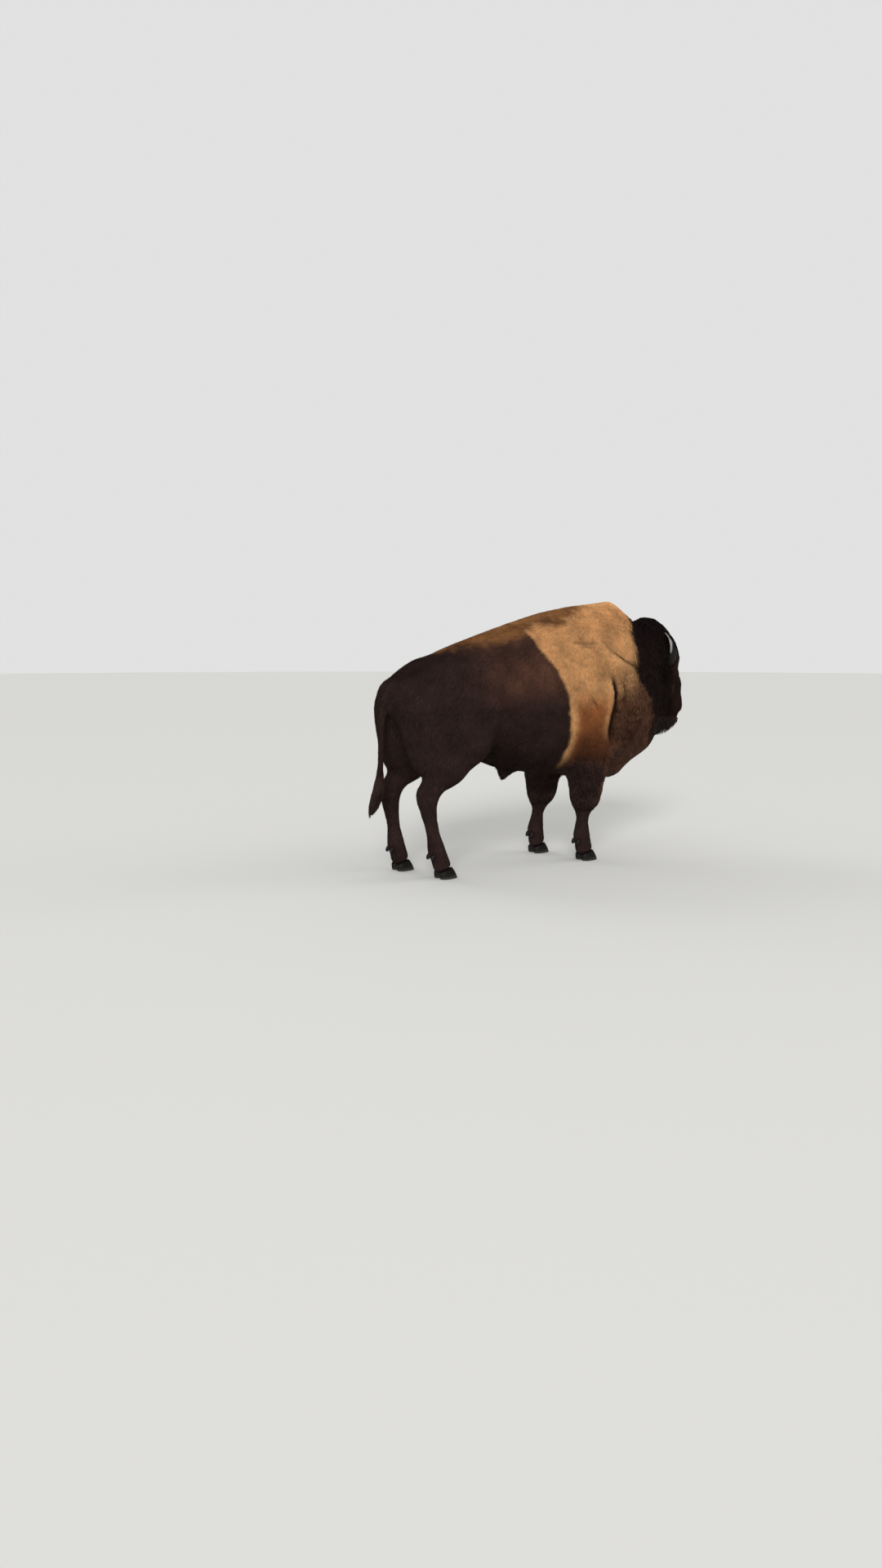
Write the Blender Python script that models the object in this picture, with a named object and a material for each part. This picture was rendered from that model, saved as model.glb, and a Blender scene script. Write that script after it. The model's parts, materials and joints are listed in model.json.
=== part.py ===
"""An American bison bull, standing, at life size, as the separate closed solids of its parts.

The flesh with its coat is one soft shape. Rods, lumps and a barrel with a top line and a belly line are
blended on a grid of distances, the zero level of that grid becomes a mesh, and blocks part the mesh into
the named parts of the body with thin cuts. Horns, eyes, ears, tail, hooves and dewclaws are modelled one
by one and sit in sockets. Metres, +X towards the head, +Y to the animal's left, +Z up. Heights count from
the floor, and lengths from a plumb line behind the top of the hump.
"""

import math

import bmesh
import bpy
import numpy as np
from mathutils import Matrix, Vector

# Driving dimensions
HUMP_HEIGHT = 1.80
RUMP_REACH = 1.54  # from the plumb line of the elbow back to the rump
HEAD_LENGTH = 0.56  # poll to nose, on the bone
HEAD_PITCH = math.radians(72)  # of the face below the horizontal
POLL = Vector((0.85, 0.0, 1.54))
CUT = 0.0004  # the thin gap between neighbouring solids
BODY_STEP = 0.0135  # grid step of the body
HEAD_STEP = 0.0075  # finer grid step of the head
BODY_TRIANGLES = 2650
HEAD_TRIANGLES = 1600

SIDES = {"left": 1, "right": -1}
# How far each hoof stands ahead of the leg's plain stance
STRIDE = {
    ("fore", "left"): -0.10,
    ("fore", "right"): 0.00,
    ("hind", "left"): -0.02,
    ("hind", "right"): 0.07,
}
# Joints down each leg: ahead, aside, height, radius with coat
LEGS = {
    "fore": [
        (0.17, 0.245, 1.04, 0.150),
        (-0.10, 0.245, 0.80, 0.125),
        (-0.10, 0.225, 0.64, 0.098),
        (-0.090, 0.212, 0.48, 0.066),
        (-0.085, 0.208, 0.43, 0.064),
        (-0.100, 0.205, 0.36, 0.048),
        (-0.110, 0.205, 0.22, 0.043),
        (-0.113, 0.205, 0.165, 0.053),
        (-0.085, 0.205, 0.10, 0.047),
        (-0.065, 0.205, 0.04, 0.052),
    ],
    "hind": [
        (-1.17, 0.160, 1.12, 0.190),
        (-1.07, 0.215, 0.87, 0.145),
        (-1.24, 0.210, 0.70, 0.108),
        (-1.37, 0.200, 0.585, 0.066),
        (-1.405, 0.195, 0.515, 0.063),
        (-1.395, 0.192, 0.43, 0.049),
        (-1.365, 0.190, 0.24, 0.044),
        (-1.355, 0.190, 0.175, 0.054),
        (-1.322, 0.190, 0.105, 0.047),
        (-1.300, 0.190, 0.04, 0.052),
    ],
}
LEG_ROOT = 0.85  # height at which a leg starts to swing with its stride

# The barrel's lines, as (length, value) along the body
TOP_LINE = [
    (-1.60, 1.20), (-1.46, 1.300), (-1.34, 1.362), (-1.10, 1.460), (-0.83, 1.550), (-0.52, 1.645),
    (-0.36, 1.690), (-0.18, 1.728), (0.02, 1.757), (0.18, 1.775), (0.32, HUMP_HEIGHT), (0.40, 1.772),
    (0.48, 1.69), (0.60, 1.60),
]
BELLY_LINE = [
    (-1.60, 0.95), (-1.25, 0.86), (-0.95, 0.76), (-0.60, 0.665), (-0.25, 0.605),
    (0.05, 0.570), (0.25, 0.63), (0.42, 0.78), (0.62, 0.95),
]
GIRTH_HEIGHT = [(-1.60, 1.10), (-1.10, 1.08), (-0.50, 1.02), (0.10, 1.06), (0.62, 1.22)]
HALF_WIDTH = [
    (-1.60, 0.25), (-1.20, 0.29), (-0.85, 0.355), (-0.50, 0.395), (-0.10, 0.385), (0.25, 0.34), (0.62, 0.26),
]
# 2 is an ellipse above the girth, and less is a steeper, sharper ridge
RIDGE = [(-1.60, 2.2), (-1.00, 2.0), (-0.55, 1.65), (-0.15, 1.38), (0.20, 1.30), (0.62, 1.5)]
RUMP_ROUND = 0.42  # length over which the barrel closes behind
CHEST_ROUND = 0.42  # and in front
CHEST_REACH = 0.62

COLOURS = {
    "cape_wool": ((0.42, 0.26, 0.12), 0.9, 0.0),
    "body_coat": ((0.050, 0.035, 0.028), 0.9, 0.0),
    "dark_mane": ((0.022, 0.016, 0.014), 0.9, 0.0),
    "horn": ((0.035, 0.032, 0.030), 0.35, 0.0),
    "hoof": ((0.045, 0.038, 0.033), 0.5, 0.0),
    "eye": ((0.012, 0.008, 0.006), 0.05, 0.0),
}


# Distances on a grid


def line_through(stations):
    """A smooth function through (place, value) stations, with each slope taken from the neighbours."""
    at, value = (np.array(column, float) for column in zip(*stations))
    slope = np.gradient(value, at)

    def read(x):
        i = np.clip(np.searchsorted(at, x) - 1, 0, len(at) - 2)
        width = at[i + 1] - at[i]
        t = np.clip((x - at[i]) / width, 0, 1)
        rise = t * t * (3 - 2 * t)
        bend_in = t * (1 - t) ** 2 * width * slope[i]
        bend_out = t * t * (t - 1) * width * slope[i + 1]
        return value[i] * (1 - rise) + value[i + 1] * rise + bend_in + bend_out

    return read


class Clay:
    """Distances to a surface on a regular grid, negative inside. Shapes are blended into it."""

    def __init__(self, low, high, step):
        self.step = step
        self.low = np.array(low, float)
        counts = np.ceil((np.array(high) - self.low) / step).astype(int) + 1
        self.axes = [self.low[i] + step * np.arange(counts[i]) for i in range(3)]
        self.distance = np.full(counts, 1.0, np.float32)

    def part(self, low, high, reach):
        """The index of the grid's part within reach of a box, and its coordinates."""
        index = []
        for i in range(3):
            first = np.searchsorted(self.axes[i], low[i] - reach)
            last = np.searchsorted(self.axes[i], high[i] + reach)
            index.append(slice(first, max(last, first)))
        places = np.meshgrid(*(self.axes[i][index[i]] for i in range(3)), indexing="ij")
        return tuple(index), places

    def blend(self, shape, soft=0.04, carve=False):
        """Adds a shape, or carves it out, with a fillet about as wide as soft."""
        measure, low, high = shape
        index, (x, y, z) = self.part(low, high, soft + 2 * self.step)
        if not x.size:
            return
        old, new = self.distance[index], measure(x, y, z)
        if carve:
            old, new = -old, new
        fillet = np.maximum(soft - np.abs(old - new), 0) / soft
        met = np.minimum(old, new) - fillet * fillet * soft / 4
        self.distance[index] = -met if carve else met

    def mesh(self, name):
        """The zero level: a point in each cell it crosses, and a face round each grid edge it cuts."""
        d = self.distance
        for axis in range(3):
            along = np.moveaxis(d, axis, 0)
            along[1:-1] = (along[:-2] + 2 * along[1:-1] + along[2:]) / 4
            along[0] = along[-1] = self.step
        inside = d < 0
        corners = sum(
            inside[i : i + d.shape[0] - 1, j : j + d.shape[1] - 1, k : k + d.shape[2] - 1].astype(np.int8)
            for i in (0, 1) for j in (0, 1) for k in (0, 1)
        )
        crossed = (corners > 0) & (corners < 8)
        number = np.cumsum(crossed).reshape(crossed.shape) - 1
        cells = np.argwhere(crossed)
        total, count = np.zeros(cells.shape), np.zeros(len(cells))
        for axis in range(3):
            one, two = (other for other in range(3) if other != axis)
            for a, b in ((0, 0), (0, 1), (1, 0), (1, 1)):
                start = cells.copy()
                start[:, one] += a
                start[:, two] += b
                end = start.copy()
                end[:, axis] += 1
                here, there = d[tuple(start.T)], d[tuple(end.T)]
                cut = (here < 0) != (there < 0)
                point = start.astype(float)
                point[:, axis] += np.where(cut, here / np.where(cut, here - there, 1), 0)
                total[cut] += point[cut]
                count += cut
        points = self.low + self.step * total / count[:, None]
        faces = []
        for axis in range(3):
            one, two = (axis + 1) % 3, (axis + 2) % 3
            before = np.moveaxis(inside, axis, 0)[:-1]
            after = np.moveaxis(inside, axis, 0)[1:]
            edges = np.argwhere(np.moveaxis(before != after, 0, axis))
            round_edge = []
            for a, b in ((-1, -1), (0, -1), (0, 0), (-1, 0)):
                cell = edges.copy()
                cell[:, one] += a
                cell[:, two] += b
                round_edge.append(number[tuple(cell.T)])
            quads = np.stack(round_edge, 1)
            backward = ~inside[tuple(edges.T)]
            quads[backward] = quads[backward, ::-1]
            faces.append(quads)
        mesh = bpy.data.meshes.new(name)
        mesh.from_pydata(points.tolist(), [], np.concatenate(faces).tolist())
        return mesh


def rod(start, end, start_radius, end_radius, flat=1.0):
    """A round rod whose radius runs evenly from end to end. flat over 1 makes it thinner across."""
    a, b = np.array(start, float), np.array(end, float)
    along = b - a
    scale = np.array((1.0, flat, 1.0))

    def measure(x, y, z):
        px, py, pz = x - a[0], (y - a[1]) * flat, z - a[2]
        way = along * scale
        t = np.clip((px * way[0] + py * way[1] + pz * way[2]) / (way @ way), 0, 1)
        off = np.sqrt((px - t * way[0]) ** 2 + (py - t * way[1]) ** 2 + (pz - t * way[2]) ** 2)
        return (off - (start_radius + (end_radius - start_radius) * t)) / (1 + (flat - 1) / 2)

    reach = max(start_radius, end_radius)
    return measure, np.minimum(a, b) - reach, np.maximum(a, b) + reach


def lump(centre, radii, frame=None):
    """An ellipsoid, upright or along the axes of a frame, in whose coordinates its centre then is."""
    radii = np.array(radii, float)
    turn = np.array(frame.to_3x3()) if frame else np.eye(3)
    middle = np.array(frame @ Vector(centre)) if frame else np.array(centre, float)

    def measure(x, y, z):
        px, py, pz = x - middle[0], y - middle[1], z - middle[2]
        near, far = 0.0, 0.0
        for axis in range(3):
            reach = (px * turn[0, axis] + py * turn[1, axis] + pz * turn[2, axis]) / radii[axis]
            near = near + reach**2
            far = far + (reach / radii[axis]) ** 2
        near, far = np.sqrt(near), np.sqrt(far) + 1e-9
        return near * (near - 1) / far

    return measure, middle - radii.max(), middle + radii.max()


def barrel(step):
    """The trunk between its top line and belly line."""
    top, belly, girth = line_through(TOP_LINE), line_through(BELLY_LINE), line_through(GIRTH_HEIGHT)
    half, ridge = line_through(HALF_WIDTH), line_through(RIDGE)

    def measure(x, y, z):
        rear = np.clip((-RUMP_REACH + RUMP_ROUND - x) / RUMP_ROUND, 0, None)
        front = np.clip((x - CHEST_REACH + CHEST_ROUND) / CHEST_ROUND, 0, None)
        middle = girth(x)
        above = np.clip(z - middle, 0, None) / (top(x) - middle)
        below = np.clip(middle - z, 0, None) / (middle - belly(x))
        size = np.sqrt((y / half(x)) ** 2 + above ** ridge(x) + below**2.1 + rear**2.3 + front**2.3)
        steepness = np.sqrt(sum(g * g for g in np.gradient(size, step)))
        return (size - 1) / np.maximum(steepness, 0.8)

    return measure, (-RUMP_REACH, -0.45, 0.5), (CHEST_REACH, 0.45, HUMP_HEIGHT)


# Anatomy


def head_frame():
    """Places on the head: down the face from the poll, to the left, and out of the forehead."""
    down = Vector((math.cos(HEAD_PITCH), 0, -math.sin(HEAD_PITCH)))
    left = Vector((0, 1, 0))
    out = Vector((math.sin(HEAD_PITCH), 0, math.cos(HEAD_PITCH)))
    frame = Matrix((down, left, out)).transposed().to_4x4()
    frame.translation = POLL
    return frame


def joints_of(leg, side):
    """A leg's joints as (place, radius), with its stride."""
    found = []
    for ahead, aside, height, radius in LEGS[leg]:
        swing = STRIDE[leg, side_name(side)] * max(0.0, 1 - height / LEG_ROOT)
        found.append((Vector((ahead + swing, aside * side, height)), radius))
    return found


def add_trunk(clay):
    clay.blend(barrel(clay.step), 0.01)
    for side in SIDES.values():
        # Haunch, ham, hook bone and pin bone
        clay.blend(lump((-1.24, 0.155 * side, 1.00), (0.275, 0.165, 0.345)), 0.10)
        clay.blend(rod((-1.39, 0.14 * side, 1.08), (-1.385, 0.185 * side, 0.74), 0.13, 0.075), 0.08)
        clay.blend(lump((-1.12, 0.205 * side, 1.315), (0.10, 0.055, 0.05)), 0.12)
        clay.blend(lump((-1.46, 0.085 * side, 1.18), (0.085, 0.06, 0.08)), 0.08)
        # Shoulder blade, upper arm, and the swell of the ribs behind the elbow
        clay.blend(rod((0.00, 0.16 * side, 1.46), (0.17, 0.255 * side, 1.08), 0.12, 0.155), 0.16)
        clay.blend(rod((0.17, 0.255 * side, 1.04), (-0.10, 0.265 * side, 0.84), 0.15, 0.13), 0.10)
        clay.blend(lump((-0.42, 0.19 * side, 0.95), (0.42, 0.21, 0.31)), 0.12)


def add_neck(clay):
    clay.blend(rod((0.26, 0, 1.30), (0.58, 0, 1.36), 0.345, 0.250), 0.14)
    clay.blend(rod((0.30, 0, 1.04), (0.66, 0, 1.14), 0.290, 0.185), 0.12)
    # The mane that hangs from throat to brisket
    for start, end in (((0.68, 0, 1.06), (0.52, 0, 0.86)), ((0.52, 0, 0.86), (0.27, 0, 0.69))):
        clay.blend(rod(start, end, 0.135, 0.155, 1.05), 0.10)


def add_leg(clay, leg, side):
    joints = joints_of(leg, side)
    for (start, start_radius), (end, end_radius) in zip(joints, joints[1:]):
        clay.blend(rod(start, end, start_radius, end_radius), 0.035)
    if leg == "fore":
        # Long hair hangs round the forearm to the knee
        elbow, knee = joints[1][0], joints[4][0]
        clay.blend(rod(elbow + Vector((0.02, 0, 0)), knee + Vector((0, 0, 0.035)), 0.160, 0.105), 0.06)
    else:
        hock = joints[4][0]
        clay.blend(rod(hock + Vector((-0.050, 0, 0.055)), hock, 0.028, 0.045), 0.04)
    # Heel bulbs over the hooves
    clay.blend(lump(joints[8][0] + Vector((-0.022, 0, -0.022)), (0.045, 0.050, 0.04)), 0.03)


def add_belly(clay):
    # Hair of the sheath, and the scrotum
    clay.blend(rod((-0.60, 0, 0.70), (-0.64, 0, 0.60), 0.065, 0.035), 0.07)
    clay.blend(lump((-1.12, 0, 0.80), (0.075, 0.062, 0.115)), 0.05)


def add_head(clay):
    head = head_frame()
    muzzle = HEAD_LENGTH - 0.085

    def local_rod(start, end, start_radius, end_radius):
        return rod(head @ Vector(start), head @ Vector(end), start_radius, end_radius)

    clay.blend(lump((0.12, 0, -0.135), (0.165, 0.142, 0.127), head), 0.08)
    clay.blend(local_rod((0.17, 0, -0.125), (0.34, 0, -0.090), 0.122, 0.104), 0.04)
    clay.blend(local_rod((0.34, 0, -0.090), (muzzle - 0.02, 0, -0.088), 0.104, 0.082), 0.04)
    clay.blend(lump((muzzle, 0, -0.096), (0.082, 0.095, 0.082), head), 0.04)
    for side in SIDES.values():
        clay.blend(lump((0.23, 0.085 * side, -0.195), (0.125, 0.062, 0.105), head), 0.05)
        for start, end, start_radius, end_radius in (
            ((0.22, 0.090 * side, -0.265), (0.37, 0.062 * side, -0.222), 0.062, 0.056),
            ((0.37, 0.062 * side, -0.222), (muzzle + 0.02, 0.026 * side, -0.168), 0.056, 0.044),
        ):
            clay.blend(local_rod(start, end, start_radius, end_radius), 0.035)
        # Brow over the eye, cheekbone below it, and the wing of the nostril
        brow = local_rod((0.155, 0.104 * side, -0.086), (0.215, 0.116 * side, -0.085), 0.034, 0.026)
        clay.blend(brow, 0.03)
        clay.blend(local_rod((0.255, 0.114 * side, -0.108), (0.41, 0.080 * side, -0.112), 0.036, 0.030), 0.05)
        clay.blend(lump((muzzle + 0.046, 0.050 * side, -0.058), (0.035, 0.031, 0.033), head), 0.02)
        # Wool on the cheek and behind the jaw
        clay.blend(lump((0.17, 0.125 * side, -0.25), (0.17, 0.090, 0.12), head), 0.06)
    # The woolly cap over the poll and between the horns, and its locks down the forehead
    clay.blend(lump((0.641, 0, 1.430), (0.224, 0.182, 0.252)), 0.08)
    clay.blend(lump((0.100, 0, -0.060), (0.122, 0.126, 0.060), head), 0.06)
    # Beard, hanging from the chin and jaw
    for start, end, start_radius, end_radius in (
        ((0.890, 0, 0.955), (0.900, 0, 0.925), 0.066, 0.060),
        ((0.810, 0, 1.03), (0.810, 0, 0.872), 0.105, 0.060),
        ((0.700, 0, 1.06), (0.710, 0, 0.900), 0.105, 0.068),
    ):
        clay.blend(rod(start, end, start_radius, end_radius, 0.88), 0.07)
    if clay.step > HEAD_STEP:
        return
    # Nostrils and orbits
    for side in SIDES.values():
        nostril = lump((muzzle + 0.064, 0.060 * side, -0.037), (0.018, 0.013, 0.015), head)
        clay.blend(nostril, 0.010, carve=True)
        clay.blend(lump((0.207, 0.168 * side, -0.100), (0.034, 0.026, 0.027), head), 0.018, carve=True)


def flesh(name, low, high, step, triangles):
    """The body with its coat as one closed mesh inside a box, thinned to a number of triangles."""
    clay = Clay(low, high, step)
    add_trunk(clay)
    add_neck(clay)
    for leg in LEGS:
        for side in SIDES.values():
            add_leg(clay, leg, side)
    add_belly(clay)
    add_head(clay)
    obj = bpy.data.objects.new(name, clay.mesh(name))
    bpy.context.scene.collection.objects.link(obj)
    tools = bmesh.new()
    tools.from_mesh(obj.data)
    bmesh.ops.triangulate(tools, faces=tools.faces)
    count = len(tools.faces)
    tools.to_mesh(obj.data)
    tools.free()
    thin = obj.modifiers.new("thin", "DECIMATE")
    thin.ratio = min(1.0, triangles / count)
    return baked(obj)


def baked(obj):
    """Applies an object's modifiers to its mesh."""
    graph = bpy.context.evaluated_depsgraph_get()
    mesh = bpy.data.meshes.new_from_object(obj.evaluated_get(graph), depsgraph=graph)
    obj.modifiers.clear()
    obj.data = mesh
    return obj


# Single solids


def solid(name, rings):
    """A closed body through rings of points, with a flat cap at each end."""
    count = len(rings[0])
    tools = bmesh.new()
    loops = [[tools.verts.new(point) for point in ring] for ring in rings]
    for low, high in zip(loops, loops[1:]):
        for i in range(count):
            j = (i + 1) % count
            tools.faces.new((low[i], low[j], high[j], high[i]))
    tools.faces.new(loops[0][::-1])
    tools.faces.new(loops[-1])
    bmesh.ops.recalc_face_normals(tools, faces=tools.faces)
    bmesh.ops.triangulate(tools, faces=tools.faces)
    mesh = bpy.data.meshes.new(name)
    tools.to_mesh(mesh)
    tools.free()
    obj = bpy.data.objects.new(name, mesh)
    bpy.context.scene.collection.objects.link(obj)
    return obj


def tapered(name, path, sides):
    """A round, tapering body along (place, radius) stations."""
    rings = []
    # The path's bend lies square to the axis along which it reaches least
    reach = np.ptp([place for place, _ in path], axis=0)
    square = Vector(np.eye(3)[int(np.argmin(reach))])
    for i, (place, radius) in enumerate(path):
        before, after = path[max(i - 1, 0)][0], path[min(i + 1, len(path) - 1)][0]
        way = (Vector(after) - Vector(before)).normalized()
        across = way.cross(square).normalized()
        upright = across.cross(way)
        rings.append([
            Vector(place) + radius * (math.cos(a) * across + math.sin(a) * upright)
            for a in (math.tau * k / sides for k in range(sides))
        ])
    return solid(name, rings)


def grown(obj, amount):
    """The object's own mesh, moved out along its normals."""
    copy = bpy.data.objects.new("grown_" + obj.name, obj.data.copy())
    bpy.context.scene.collection.objects.link(copy)
    for vertex, normal in zip(copy.data.vertices, [v.normal.copy() for v in obj.data.vertices]):
        vertex.co += normal * amount
    return copy


def inset(outline, amount):
    """A clockwise convex outline with each edge moved inwards."""
    lines = []
    for a, b in zip(outline, outline[1:] + outline[:1]):
        way = (Vector(b) - Vector(a)).normalized()
        lines.append((Vector(a) + amount * Vector((way.y, -way.x)), way))
    corners = []
    for (p, v), (q, w) in zip(lines[-1:] + lines[:-1], lines):
        t = (q - p).cross(w) / v.cross(w)
        corners.append(p + t * v)
    return corners


def block(name, outline, low, high, amount):
    """A prism over an outline in the upright middle plane, from low to high, with a margin taken off."""
    corners = inset(outline, amount)
    low, high = low + amount, high - amount
    return solid(name, [[Vector((x, y, z)) for x, z in corners] for y in (low, high)])


def cut(flesh_part, name, region, removed=()):
    """A piece of the flesh: what lies inside a region and outside the removed bodies."""
    piece = bpy.data.objects.new(name, flesh_part.data)
    bpy.context.scene.collection.objects.link(piece)
    for operation, body in [("INTERSECT", region)] + [("DIFFERENCE", body) for body in removed]:
        step = piece.modifiers.new("cut", "BOOLEAN")
        step.operation = operation
        step.object = body
        step.solver = "EXACT"
    return baked(piece)


# Horns, ears, eyes, tail and feet


HORN_CENTRE = Vector((0.700, 0.132, 1.462))  # middle of the left horn's arc, where it leaves the skull
HORN_BOW = 0.117  # radius of the arc
HORN_START = math.radians(-100)
HORN_SWEEP = math.radians(165)
HORN_LEAN = 0.042  # how far back the point lies
HORN_BASE = 0.044
HORN_TIP = 0.0035
HORN_STEPS = 10


def horn(side):
    """A short horn that leaves the side of the skull, curves out and up, and ends in a point turned in."""
    path = []
    for i in range(HORN_STEPS + 1):
        t = i / HORN_STEPS
        turn = HORN_START + HORN_SWEEP * t
        aside = HORN_CENTRE.y + HORN_BOW * math.cos(turn)
        height = HORN_CENTRE.z + HORN_BOW * math.sin(turn)
        radius = HORN_BASE * (1 - t) ** 0.60 + HORN_TIP
        path.append(((HORN_CENTRE.x - HORN_LEAN * t, side * aside, height), radius))
    return tapered("horn_" + side_name(side), path, 10)


def ear(side):
    """A leaf-shaped ear, hollow towards the front, that stands out behind and below the horn."""
    base = Vector((0.640, 0.150 * side, 1.305))
    way = Vector((-0.30, 0.90 * side, -0.16)).normalized()
    front = Vector((0.95, 0.30 * side, 0.05))
    front = (front - front.dot(way) * way).normalized()
    width = way.cross(front).normalized()
    rings = []
    for t, half, hollow, thick in (
        (0.00, 0.020, 0.002, 0.022), (0.035, 0.026, 0.010, 0.018), (0.065, 0.034, 0.017, 0.013),
        (0.095, 0.036, 0.016, 0.011), (0.120, 0.030, 0.011, 0.010), (0.140, 0.018, 0.005, 0.009),
        (0.152, 0.007, 0.001, 0.007),
    ):
        ring = []
        for s in (-1, -0.5, 0, 0.5, 1):
            ring.append(base + t * way + half * s * width - hollow * (1 - s * s) * front)
        for s in (0.8, 0.4, 0, -0.4, -0.8):
            ring.append(base + t * way + half * s * width + (thick - hollow * (1 - s * s)) * front)
        rings.append(ring)
    return solid("ear_" + side_name(side), rings)


def eye(side):
    """An eyeball."""
    middle = head_frame() @ Vector((0.207, 0.131 * side, -0.100))
    tools = bmesh.new()
    bmesh.ops.create_uvsphere(tools, u_segments=10, v_segments=6, radius=0.023)
    bmesh.ops.triangulate(tools, faces=tools.faces)
    mesh = bpy.data.meshes.new("eye")
    tools.to_mesh(mesh)
    tools.free()
    mesh.transform(Matrix.Translation(middle) @ Matrix.Rotation(math.pi / 2, 4, "X"))
    obj = bpy.data.objects.new("eye_" + side_name(side), mesh)
    bpy.context.scene.collection.objects.link(obj)
    return obj


def tail():
    """The tail's stem, and the tuft of long hair that carries on from its end, blown a little back."""
    stem = [
        ((-1.450, 0, 1.235), 0.040), ((-1.515, 0, 1.205), 0.042), ((-1.560, 0, 1.135), 0.036),
        ((-1.582, 0.002, 1.040), 0.029), ((-1.588, 0.006, 0.920), 0.025), ((-1.588, 0.010, 0.800), 0.023),
        ((-1.590, 0.014, 0.700), 0.023),
    ]
    end = Vector(stem[-1][0])
    way = (end - Vector(stem[-2][0])).normalized()
    tuft = [
        (end + CUT * way, 0.023), (end + 0.060 * way, 0.036), ((-1.603, 0.026, 0.570), 0.043),
        ((-1.622, 0.036, 0.500), 0.036), ((-1.640, 0.048, 0.440), 0.020), ((-1.652, 0.056, 0.405), 0.006),
    ]
    return tapered("tail", stem, 10), tapered("tail_tuft", tuft, 10)


CORONET_RISE = 0.348  # from heel to toe, for each metre


def coronet(middle, x):
    """Height of the top edge of a hoof, which rises from heel to toe."""
    return 0.045 + (x - middle + 0.055) * CORONET_RISE


def claw(leg, side, inner):
    """One of the two claws of a hoof, on a flat sole."""
    middle = joints_of(leg, side)[-1][0]
    shift = -0.032 * side if inner else 0.032 * side
    rings = []
    for level, length, width, back in ((0, 0.96, 0.94, 0), (0.08, 1, 1, 0), (1, 0.86, 0.92, 0.013)):
        ring = []
        for k in range(12):
            a = math.tau * k / 12
            ahead = 0.063 * length * math.cos(a) - back
            # Pointed in front, and straight towards the other claw
            aside = 0.029 * width * math.sin(a) * (1 - 0.22 * math.cos(a))
            x = middle.x + 0.006 + ahead
            ring.append(Vector((x, middle.y + shift + aside, level * (coronet(middle.x, x) - CUT))))
        rings.append(ring)
    place = "inner" if inner else "outer"
    return solid(f"hoof_{leg}_{side_name(side)}_{place}", rings)


def dewclaw(leg, side, inner):
    """A small claw that hangs behind the fetlock."""
    fetlock = joints_of(leg, side)[7][0]
    aside = -0.024 * side if inner else 0.024 * side
    start = fetlock + Vector((-0.026, aside * 0.9, -0.010))
    path = [
        (start, 0.014),
        (start + Vector((-0.016, aside * 0.12, -0.008)), 0.0165),
        (start + Vector((-0.026, aside * 0.15, -0.024)), 0.0150),
        (start + Vector((-0.029, aside * 0.15, -0.037)), 0.0080),
    ]
    place = "inner" if inner else "outer"
    return tapered(f"dewclaw_{leg}_{side_name(side)}_{place}", path, 6)


def side_name(side):
    return "left" if side > 0 else "right"


# The whole animal

# Outlines of the regions in the middle plane, clockwise, as (length, height)
NECK_TOP, NECK_FOLD, NECK_FOOT = (0.46, 1.95), (0.61, 1.00), (0.68, 0.50)
CHIN = (1.30, 0.90)
REGIONS = {
    "head": [NECK_TOP, (1.30, 1.95), CHIN, NECK_FOLD],
    "beard": [NECK_FOLD, CHIN, (1.30, 0.50), NECK_FOOT],
    "neck": [(0.24, 1.95), NECK_TOP, NECK_FOLD, NECK_FOOT, (0.68, 0.30), (0.36, 0.30)],
    "shoulders": [(-0.36, 1.95), (0.24, 1.95), (0.36, 0.30), (-0.36, 0.30)],
    "barrel": [(-0.90, 1.95), (-0.36, 1.95), (-0.36, 0.30), (-0.90, 0.30)],
    "hindquarters": [(-1.85, 1.95), (-0.90, 1.95), (-0.90, 0.30), (-1.85, 0.30)],
}
LEG_TOPS = {
    "fore": [(-0.31, 0.78), (0.13, 0.80)],
    "hind": [(-1.75, 0.97), (-0.915, 0.81)],
}
LEG_INSIDE = {"fore": 0.070, "hind": 0.066}
KNEE_CUT = {"fore": 0.400, "hind": 0.452}


def leg_outlines(leg, side):
    """Outlines of the upper leg, the lower leg and both together down past the floor."""
    middle = joints_of(leg, side)[-1][0].x
    rear, front = LEG_TOPS[leg]
    low = KNEE_CUT[leg]
    upper = [rear, front, (front[0], low), (rear[0], low)]
    near, far = middle - 0.30, middle + 0.22
    lower = [(near, low), (far, low), (far, coronet(middle, far)), (near, coronet(middle, near))]
    whole = [rear, front, (front[0], -0.2), (rear[0], -0.2)]
    return upper, lower, whole


def dressed(obj, colour):
    """Gives an object its own material."""
    (red, green, blue), roughness, metallic = COLOURS[colour]
    material = bpy.data.materials.new(f"{colour}_{obj.name}")
    material.use_nodes = True
    shader = material.node_tree.nodes["Principled BSDF"]
    shader.inputs["Base Color"].default_value = (red, green, blue, 1)
    shader.inputs["Roughness"].default_value = roughness
    shader.inputs["Metallic"].default_value = metallic
    obj.data.materials.clear()
    obj.data.materials.append(material)


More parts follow.
